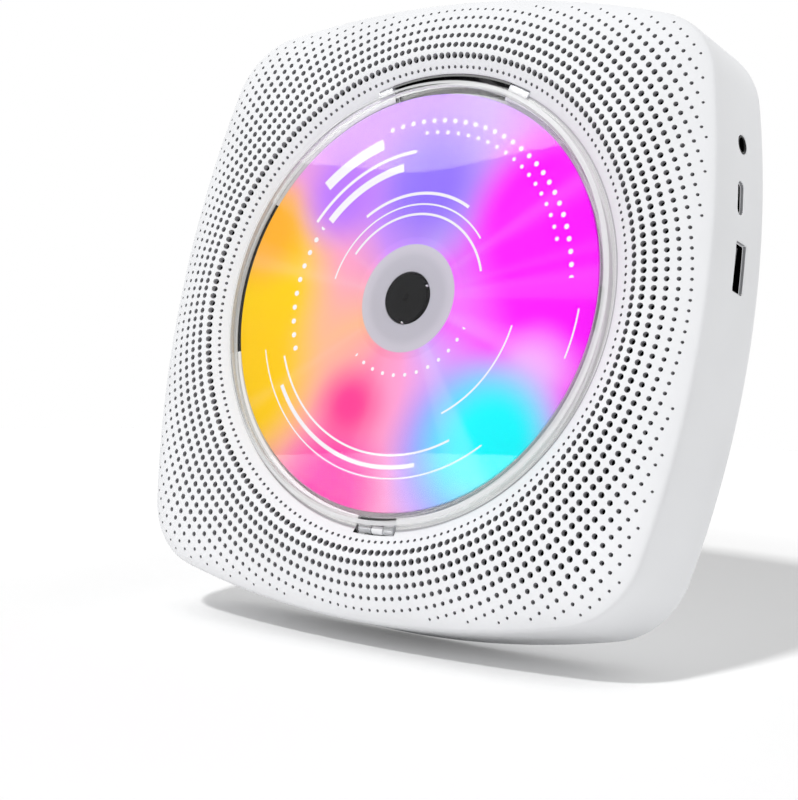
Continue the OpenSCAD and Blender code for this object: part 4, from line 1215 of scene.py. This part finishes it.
@dataclass
class Disc:
    """The printed disc."""

    disc_r: float = 60.0
    hole_r: float = 7.5
    print_r: float = 15.4
    hub_seat: tuple[float, float] = (11.2, 14.6)  # the clamped area fades out over these
    seat_z: float = 31.4
    disc_t: float = 1.2
    wander: float = 30.0  # degrees by which the sweep of colour wanders
    painted_sheen: float = 0.1

    def print_material(self) -> bpy.types.Material:
        """Make the print: a sweep of colour round the disc with plain white motifs, and faint
        streaks of painted sheen.
        """
        paint = Paint("printed_disc")
        reach, turn = paint.polar()
        sweep = turn + paint.noise(26.0, 1.0) * self.wander - self.wander / 2
        colour = paint.node("ShaderNodeValToRGB", {"stops": SWEEP},
                            {0: (sweep / 360.0).least(1.0).most(0.0)})
        x, y, _ = paint.places()
        for spot in SPOTS:
            u, v = (spot.away * f(math.radians(spot.angle)) for f in (math.cos, math.sin))
            off = ((x - u) * (x - u) + (y - v) * (y - v)) ** 0.5
            colour = paint.mix(1 - off.rise(spot.low, spot.high), colour, spot.colour)
        # Faint lighter streaks round the disc are painted sheen, not print.
        painted_sheen_streaks = paint.node("ShaderNodeTexNoise", {"noise_dimensions": "1D"},
                             {"W": turn * 0.045, "Scale": 1.0, "Detail": 2.0})
        colour = paint.mix(painted_sheen_streaks.rise(0.52, 0.8) * self.painted_sheen, colour, (1.0, 0.95, 1.0))
        colour = paint.mix(self.motifs(paint, reach, turn), colour, (0.93, 0.92, 0.95))
        hub = paint.mix(reach.rise(*self.hub_seat), tone(189, 187, 197), tone(203, 200, 210))
        colour = paint.mix(reach.rise(self.print_r, self.print_r + 0.3), hub, colour)
        return paint.finish(paint.principled(
            Base_Color=colour, Roughness=0.3 + paint.noise(400.0) * 0.06,
            Specular_IOR_Level=0.06))

    @staticmethod
    def motifs(paint: Paint, reach: Expression, turn: Expression) -> Expression:
        """White arcs and rows of dots.

        Args:
            paint: The material in the making.
            reach: Distance from the axis.
            turn: Direction in degrees.

        Returns:
            1 where the print is white.
        """
        white: Any = 0.0
        for arc in ARCS:
            white = reach.band(arc.low, arc.high, 0.08) \
                * turn.band(arc.start, arc.end, 0.3) + white
        for row in DOTS:
            aside = paint.math("PINGPONG", turn, 180.0 / row.count) \
                * (row.ring * math.pi / 180.0)
            off = reach - row.ring
            dots = 1 - (aside * aside + off * off).rise((row.size * 0.85) ** 2,
                                                        (row.size * 1.1) ** 2)
            white = dots * turn.band(row.start, row.end, 0.1) + white
        return white.least(1.0)

    def build(self) -> None:
        """Make the disc: a flat ring with rounded edges, carried round its axis."""
        low, high = self.seat_z, self.seat_z + self.disc_t
        r, h = self.disc_r, self.hole_r
        profile = np.array([
            (h + 0.15, low), (16.0, low), (r - 0.3, low), (r - 0.08, low + 0.1),
            (r, low + 0.4), (r, high - 0.4), (r - 0.08, high - 0.1), (r - 0.3, high),
            (18.2, high), (17.9, high - 0.12), (17.3, high - 0.12), (17.0, high),
            (h + 0.15, high), (h, high - 0.15), (h, low + 0.15), (h + 0.15, low)])
        sheet = Sheet()
        sheet.grid(turned(profile), around=True)
        piece = sheet.make("printed_disc")
        place(piece, "disc_spindle", "disc_print", self.print_material(), "disc")


# ---------------------------------------------------------------- cover

@dataclass
class Cover:
    """The hinged clear cover: a domed window in a clear rim."""

    rim_r: float = 64.4
    window_r: float = 61.6
    inner_r: float = 62.2
    top_z: float = 35.7
    rim_top_z: float = 34.9
    base_z: float = 31.3
    window_t: float = 1.3
    drawn_r: float = 63.1  # the rim's foot where the hinge's ear stands
    drawn_z: float = 33.1
    tab_turns: tuple[tuple[float, float], ...] = ((64.6, 70.8), (107.3, 111.4))
    knuckle_ends: tuple[tuple[float, float], ...] = ((-2.5, 1.7), (5.9, 9.1))

    def window(self) -> bpy.types.Object:
        """Make the window: a shallow dome, z = top - fall (r / R)^2, and its inner face."""
        r = np.linspace(0.0, self.window_r, 24)
        outer = self.top_z - (self.top_z - self.rim_top_z) * (r / self.window_r) ** 2
        inner = outer - self.window_t
        profile = np.concatenate([
            np.stack([r, inner], axis=1), np.stack([r[::-1], outer[::-1]], axis=1)])
        sheet = Sheet()
        sheet.grid(turned(profile), around=True)
        return sheet.make("clear_window")

    def rim(self) -> bpy.types.Object:
        """Make the rim, with its two knuckles and two tabs.

        The rim is a rounded bevel carried round the axis. Its foot is drawn in where the
        hinge's ear stands.
        """
        bevel = through(np.array([
            (self.rim_r, 31.2), (self.rim_r, 31.9), (64.32, 32.5), (63.9, 33.3), (63.2, 34.0),
            (62.3, 34.6), (61.62, self.rim_top_z), (61.0, 35.0)]), 3)
        profile = np.concatenate([
            [(self.inner_r, self.base_z), (64.25, self.base_z), (self.rim_r, 31.45)], bevel,
            [(61.62, 33.6), (self.inner_r, 33.0), (self.inner_r, self.base_z)]])
        (_, ear_left), (ear_right, _) = self.knuckle_ends
        left, right = (270 + math.degrees(math.asin(x / 64.0)) for x in (ear_left, ear_right))
        round_rim = np.linspace(right, 360 + left, 240)
        angle = np.concatenate([round_rim, np.linspace(360 + left, 360 + right, 6)])
        shape = np.repeat(profile[:, None], len(angle), axis=1)
        at_ear = np.arange(len(angle)) >= len(round_rim)
        drawn = at_ear[None] & (shape[..., 1] < self.drawn_z) & (shape[..., 0] > self.drawn_r)
        shape[..., 0] = np.where(drawn, self.drawn_r, shape[..., 0])
        sheet = Sheet()
        sheet.grid(carried(shape, angle), around=True)
        for low, high in self.tab_turns:
            loop = np.array([(63.9, 31.3), (65.7, 31.3), (65.8, 31.4), (65.8, 31.95),
                             (65.65, 32.1), (63.9, 32.1)])
            steps = np.linspace(low, high, 9)
            sheet.bar(carried(loop[None], steps[:, None])[:, ::-1], skin=1)
        for low, high in self.knuckle_ends:
            Hinge().knuckle(sheet, low, high, (90, 270),
                            [(-63.5, 30.9), (-62.4, 31.3), (-62.4, 32.65)], skin=1)
        return sheet.make("clear_rim")

    def build(self) -> None:
        """Make the window and the rim."""
        clear = ClearPlastic("clear_window_plastic", mirror=0.01, roughness=0.015).material()
        # The rim's milky bands are painted highlights on its bevel, and the milky veil of the
        # knuckles and tabs is painted light.
        edge = ClearPlastic("clear_rim_plastic", mirror=0.02, grazing=0.28, veil=0.02,
                            veil_colour=tone(246, 247, 248), tint=tone(248, 248, 247),
                            roughness=0.05,
                            bands=((62.4, 63.6, 0.66), (61.5, 61.75, 0.3))).material()
        block = ClearPlastic("clear_block_plastic", mirror=0.05, veil=0.5,
                             veil_colour=tone(232, 234, 238), roughness=0.08).material()
        place(self.window(), "cover", "clear_window", clear, "cover_window")
        place(self.rim(), "cover", "clear_rim", (edge, block), "cover_rim")


# ---------------------------------------------------------------- stage

@dataclass(frozen=True)
class Lamp:
    """A square lamp that looks at the disc's middle."""

    name: str
    at: Point
    size: float  # metres
    power: float  # watts
    upright: Point = (0.0, 0.02, 1.0)

    def hang(self) -> None:
        """Hang it, out of sight of mirrors."""
        data = bpy.data.lights.new(self.name, "AREA")
        data.shape = "SQUARE"
        data.size = self.size
        data.energy = self.power
        back = unit(np.array(self.at))
        side = unit(np.cross(self.upright, back))
        made = stand(self.name, data, (side, np.cross(back, side), back), self.at)
        made.visible_glossy = False


@dataclass(frozen=True)
class Card:
    """A card that shows only in mirrors, as a soft lens at one end of the window."""

    name: str
    low: float  # the direction in degrees at which the lens starts
    high: float  # the direction at which it ends
    nearest: float  # distance of the inner arc's middle from the disc's axis
    strength: float
    chord_r: float = 61.0
    outer_r: float = 68.0
    mean_z: float = 35.3
    dome: tuple[float, float] = (0.8, 61.6)  # the window's rise and radius
    away: float = 0.9  # metres along the mirrored ray
    steps: int = 25

    def hang(self, eye: Point) -> None:
        """Hang the card where the window mirrors it into the eye.

        A point p of the window with normal n mirrors the eye's ray d into
        d - 2 (d . n) n, and the card's corner is so far along that ray. Its outline is the
        window's edge and, on the inside, an arc that bows from the chord to the nearest.

        Args:
            eye: The camera's place in metres.
        """
        t = np.linspace(0.0, 1.0, self.steps)
        turn = self.low + (self.high - self.low) * t
        half = math.radians((self.high - self.low) / 2)
        near = self.chord_r * math.cos(half)
        chord = near / np.cos(half * (2 * t - 1))
        inner = chord + (self.nearest - near) * (1 - (2 * t - 1) ** 2)
        reach = np.concatenate([inner, np.full(self.steps, self.outer_r)])
        angle = np.radians(np.concatenate([turn, turn[::-1]]))
        x, z = reach * np.cos(angle), reach * np.sin(angle)
        spot = np.stack([x, np.full_like(x, -self.mean_z), z], axis=1) / MM
        lean = 2 * self.dome[0] / self.dome[1] ** 2
        normal = unit(np.stack([x * lean, np.full_like(x, -1.0), z * lean], axis=1))
        ray = unit(spot - np.array(eye))
        mirrored = ray - 2 * (ray * normal).sum(axis=1, keepdims=True) * normal
        last = 2 * self.steps - 1
        card = patch(self.name, spot + self.away * mirrored,
                     [(i, i + 1, last - 1 - i, last - i) for i in range(self.steps - 1)])
        paint = Paint(self.name)
        dress(card, paint.finish(paint.node(
            "ShaderNodeEmission", None, {"Color": WHITE, "Strength": self.strength})))
        card.visible_camera = card.visible_diffuse = card.visible_shadow = False
        card.visible_transmission = False


@dataclass
class Stage:
    """Camera, light and floor."""

    focal: float = 1617.03  # in pixels, as are middle and size
    middle: tuple[float, float] = (473.34, 331.27)
    size: tuple[int, int] = (798, 800)
    sensor: float = 36.0
    eye: Point = (0.266452, -0.385054, -0.083297)
    axes: tuple[Point, Point, Point] = ((0.8284175, 0.5339313, 0.1692391),
                                        (-0.0454741, -0.2370416, 0.9704346),
                                        (0.5582621, -0.811621, -0.1720894))
    ambient: float = 0.45
    lean: float = 14.2  # how far the player leans back from the floor's upright
    lowest: float = -0.0874
    ahead: float = 0.02  # how far before the player the floor's middle is
    floor_r: float = 0.6
    floor_steps: int = 96
    floor_pale: float = 0.95
    painted_shadow_floor: float = 0.7
    painted_shadow_reach: float = 0.03
    glow_near: float = 0.12
    glow_more: float = 0.14
    fade_back: tuple[float, float] = (190.0, 300.0)  # millimetres behind the wall side
    fade_left: tuple[float, float] = (100.0, 260.0)  # millimetres left of the disc's axis
    lamps: tuple[Lamp, ...] = (Lamp("front_lamp", (-0.056, -2.883, 2.073), 0.26, 70.0),
                               Lamp("side_lamp", (1.5, 0.45, 0.1), 0.5, 2.6),
                               Lamp("back_lamp", (0.6, 2.0, 0.43), 0.6, 14.0))
    cards: tuple[Card, ...] = (Card("upper_card", 45.0, 140.0, 36.0, 10.0),
                               Card("lower_card", 232.0, 318.0, 44.0, 8.0))

    def camera(self) -> None:
        """Set the camera at the photograph's angle; shift puts the lens's axis off centre."""
        data = bpy.data.cameras.new("camera")
        data.sensor_fit = "VERTICAL"
        data.sensor_height = self.sensor
        data.lens = self.focal * self.sensor / self.size[1]
        data.shift_x = ((self.size[0] - 1) / 2 - self.middle[0]) / self.size[1]
        data.shift_y = (self.middle[1] - (self.size[1] - 1) / 2) / self.size[1]
        data.clip_start = 0.01
        bpy.context.scene.camera = stand("camera", data, self.axes, self.eye)

    def world(self) -> None:
        """White to the camera, to mirrors and through glass; a plainer grey as light."""
        world = bpy.data.worlds.new("studio")
        bpy.context.scene.world = world
        paint = Paint("studio", world)
        rays = paint.node("ShaderNodeLightPath").socket.node.outputs
        seen = Expression(paint, rays["Is Camera Ray"])
        for kind in ("Is Glossy Ray", "Is Transmission Ray"):
            seen = seen.most(Expression(paint, rays[kind]))
        back = paint.node("ShaderNodeBackground", None, {
            "Color": WHITE, "Strength": seen * (1.0 - self.ambient) + self.ambient})
        paint.node("ShaderNodeOutputWorld", None, {"Surface": back})

    def floor(self) -> None:
        """A round pale floor under the leaning player, clear from below.

        Its colour darkens softly close under the player, a painted contact shadow, and to
        the camera alone it glows a little, and more far off, so that it fades into the white
        behind it.
        """
        lean = math.radians(self.lean)
        up = np.array([0.0, -math.sin(lean), math.cos(lean)])
        ahead = np.array([0.0, -math.cos(lean), -math.sin(lean)])
        centre = up * self.lowest + ahead * self.ahead
        t = np.linspace(0, 2 * np.pi, self.floor_steps + 1)[:-1, None]
        ring = centre + self.floor_r * (np.cos(t) * np.array([1.0, 0, 0])
                                        + np.sin(t) * ahead)
        made = patch("floor", np.concatenate([centre[None], ring]),
                     [(0, 1 + (i + 1) % self.floor_steps, 1 + i)
                      for i in range(self.floor_steps)])
        paint = Paint("pale_floor")
        seen = paint.node("ShaderNodeLightPath", out="Is Camera Ray")
        # Painted contact shadow: the floor's colour is darkened where occlusion is high, close
        # under the player.
        open_sky = paint.node("ShaderNodeAmbientOcclusion", {"samples": 8},
                              {"Distance": self.painted_shadow_reach}, out="AO")
        pale = paint.mix(open_sky.rise(0.2, 0.75), times(WHITE, self.painted_shadow_floor),
                         times(WHITE, self.floor_pale))
        matt = paint.node("ShaderNodeBsdfDiffuse", None, {"Color": pale})
        x, _, z = paint.places()
        far = (0 - z).rise(*self.fade_back).most((0 - x).rise(*self.fade_left))
        glow = paint.node("ShaderNodeEmission", None, {"Color": paint.mix(
            seen * (far * self.glow_more + self.glow_near), BLACK, WHITE)})
        top = paint.node("ShaderNodeAddShader", None, {0: matt, 1: glow})
        clear = paint.node("ShaderNodeBsdfTransparent")
        behind = paint.node("ShaderNodeNewGeometry", out="Backfacing")
        dress(made, paint.finish(paint.node("ShaderNodeMixShader", None,
                                            {0: behind, 1: top, 2: clear})))

    def build(self) -> None:
        """Set the stage."""
        bpy.context.scene.view_settings.view_transform = "Standard"
        self.camera()
        self.world()
        for lamp in self.lamps:
            lamp.hang()
        for card in self.cards:
            card.hang(self.eye)
        self.floor()


# ---------------------------------------------------------------- the frame's own nodes

def slot_materials() -> dict[str, bpy.types.Material]:
    """Make one material for each of the record's material slots."""
    finishes = {
        "white_housing": MouldedPlastic("white_moulding", tone(243, 244, 246)),
        "black_gloss": GlossPlastic("black_gloss_plastic", tone(8, 8, 9)),
        "black_cloth": SpeakerCloth("speaker_cloth", tone(18, 18, 20)),
        "sheet_steel": BareMetal("zinc_plated_sheet", tone(196, 198, 202), 0.32),
        "steel": BareMetal("ground_steel", tone(205, 206, 210), 0.2),
        "bronze": BareMetal("sintered_bronze", tone(176, 130, 76), 0.38),
        "black_rubber": MouldedPlastic("black_rubber", tone(30, 30, 32), roughness=0.75,
                                       specular=0.2, grain=0.06),
        "board_green": CircuitBoard("lacquered_board", tone(22, 92, 52)),
        "black_plastic": MouldedPlastic("black_plastic", tone(16, 16, 18), roughness=0.5,
                                        specular=0.08),
        "foam": MouldedPlastic("grey_foam", tone(70, 70, 74), roughness=0.95, specular=0.1,
                               grain=0.3, grain_scale=900.0, uneven=0.3),
        "clear_window": ClearPlastic("clear_plastic"),
        "clear_rim": ClearPlastic("clear_edge_plastic", veil=0.2),
        "disc_print": GlossPlastic("plain_disc", tone(200, 160, 240)),
        "lens_glass": ClearPlastic("lens_glass", tint=(0.75, 0.85, 1.0)),
    }
    return {slot: finish.material() for slot, finish in finishes.items()}


def dress_nodes(frame: dict[str, Any], materials: dict[str, bpy.types.Material]) -> None:
    """Give every node that is left showing the finish of its slot.

    Args:
        materials: One material for each slot.
    """
    for part in frame["record"]["subparts"]:
        dress(frame["nodes"][part["node"]], materials[part["material_slot"]])


def main() -> None:
    """Build the pieces in order."""
    logging.basicConfig(level=logging.INFO, format="%(message)s")
    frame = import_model()
    materials = slot_materials()
    dress_nodes(frame, materials)
    Stage().build()
    Housing().build(materials)
    Disc().build()
    Cover().build()


if __name__ == "__main__":
    main()
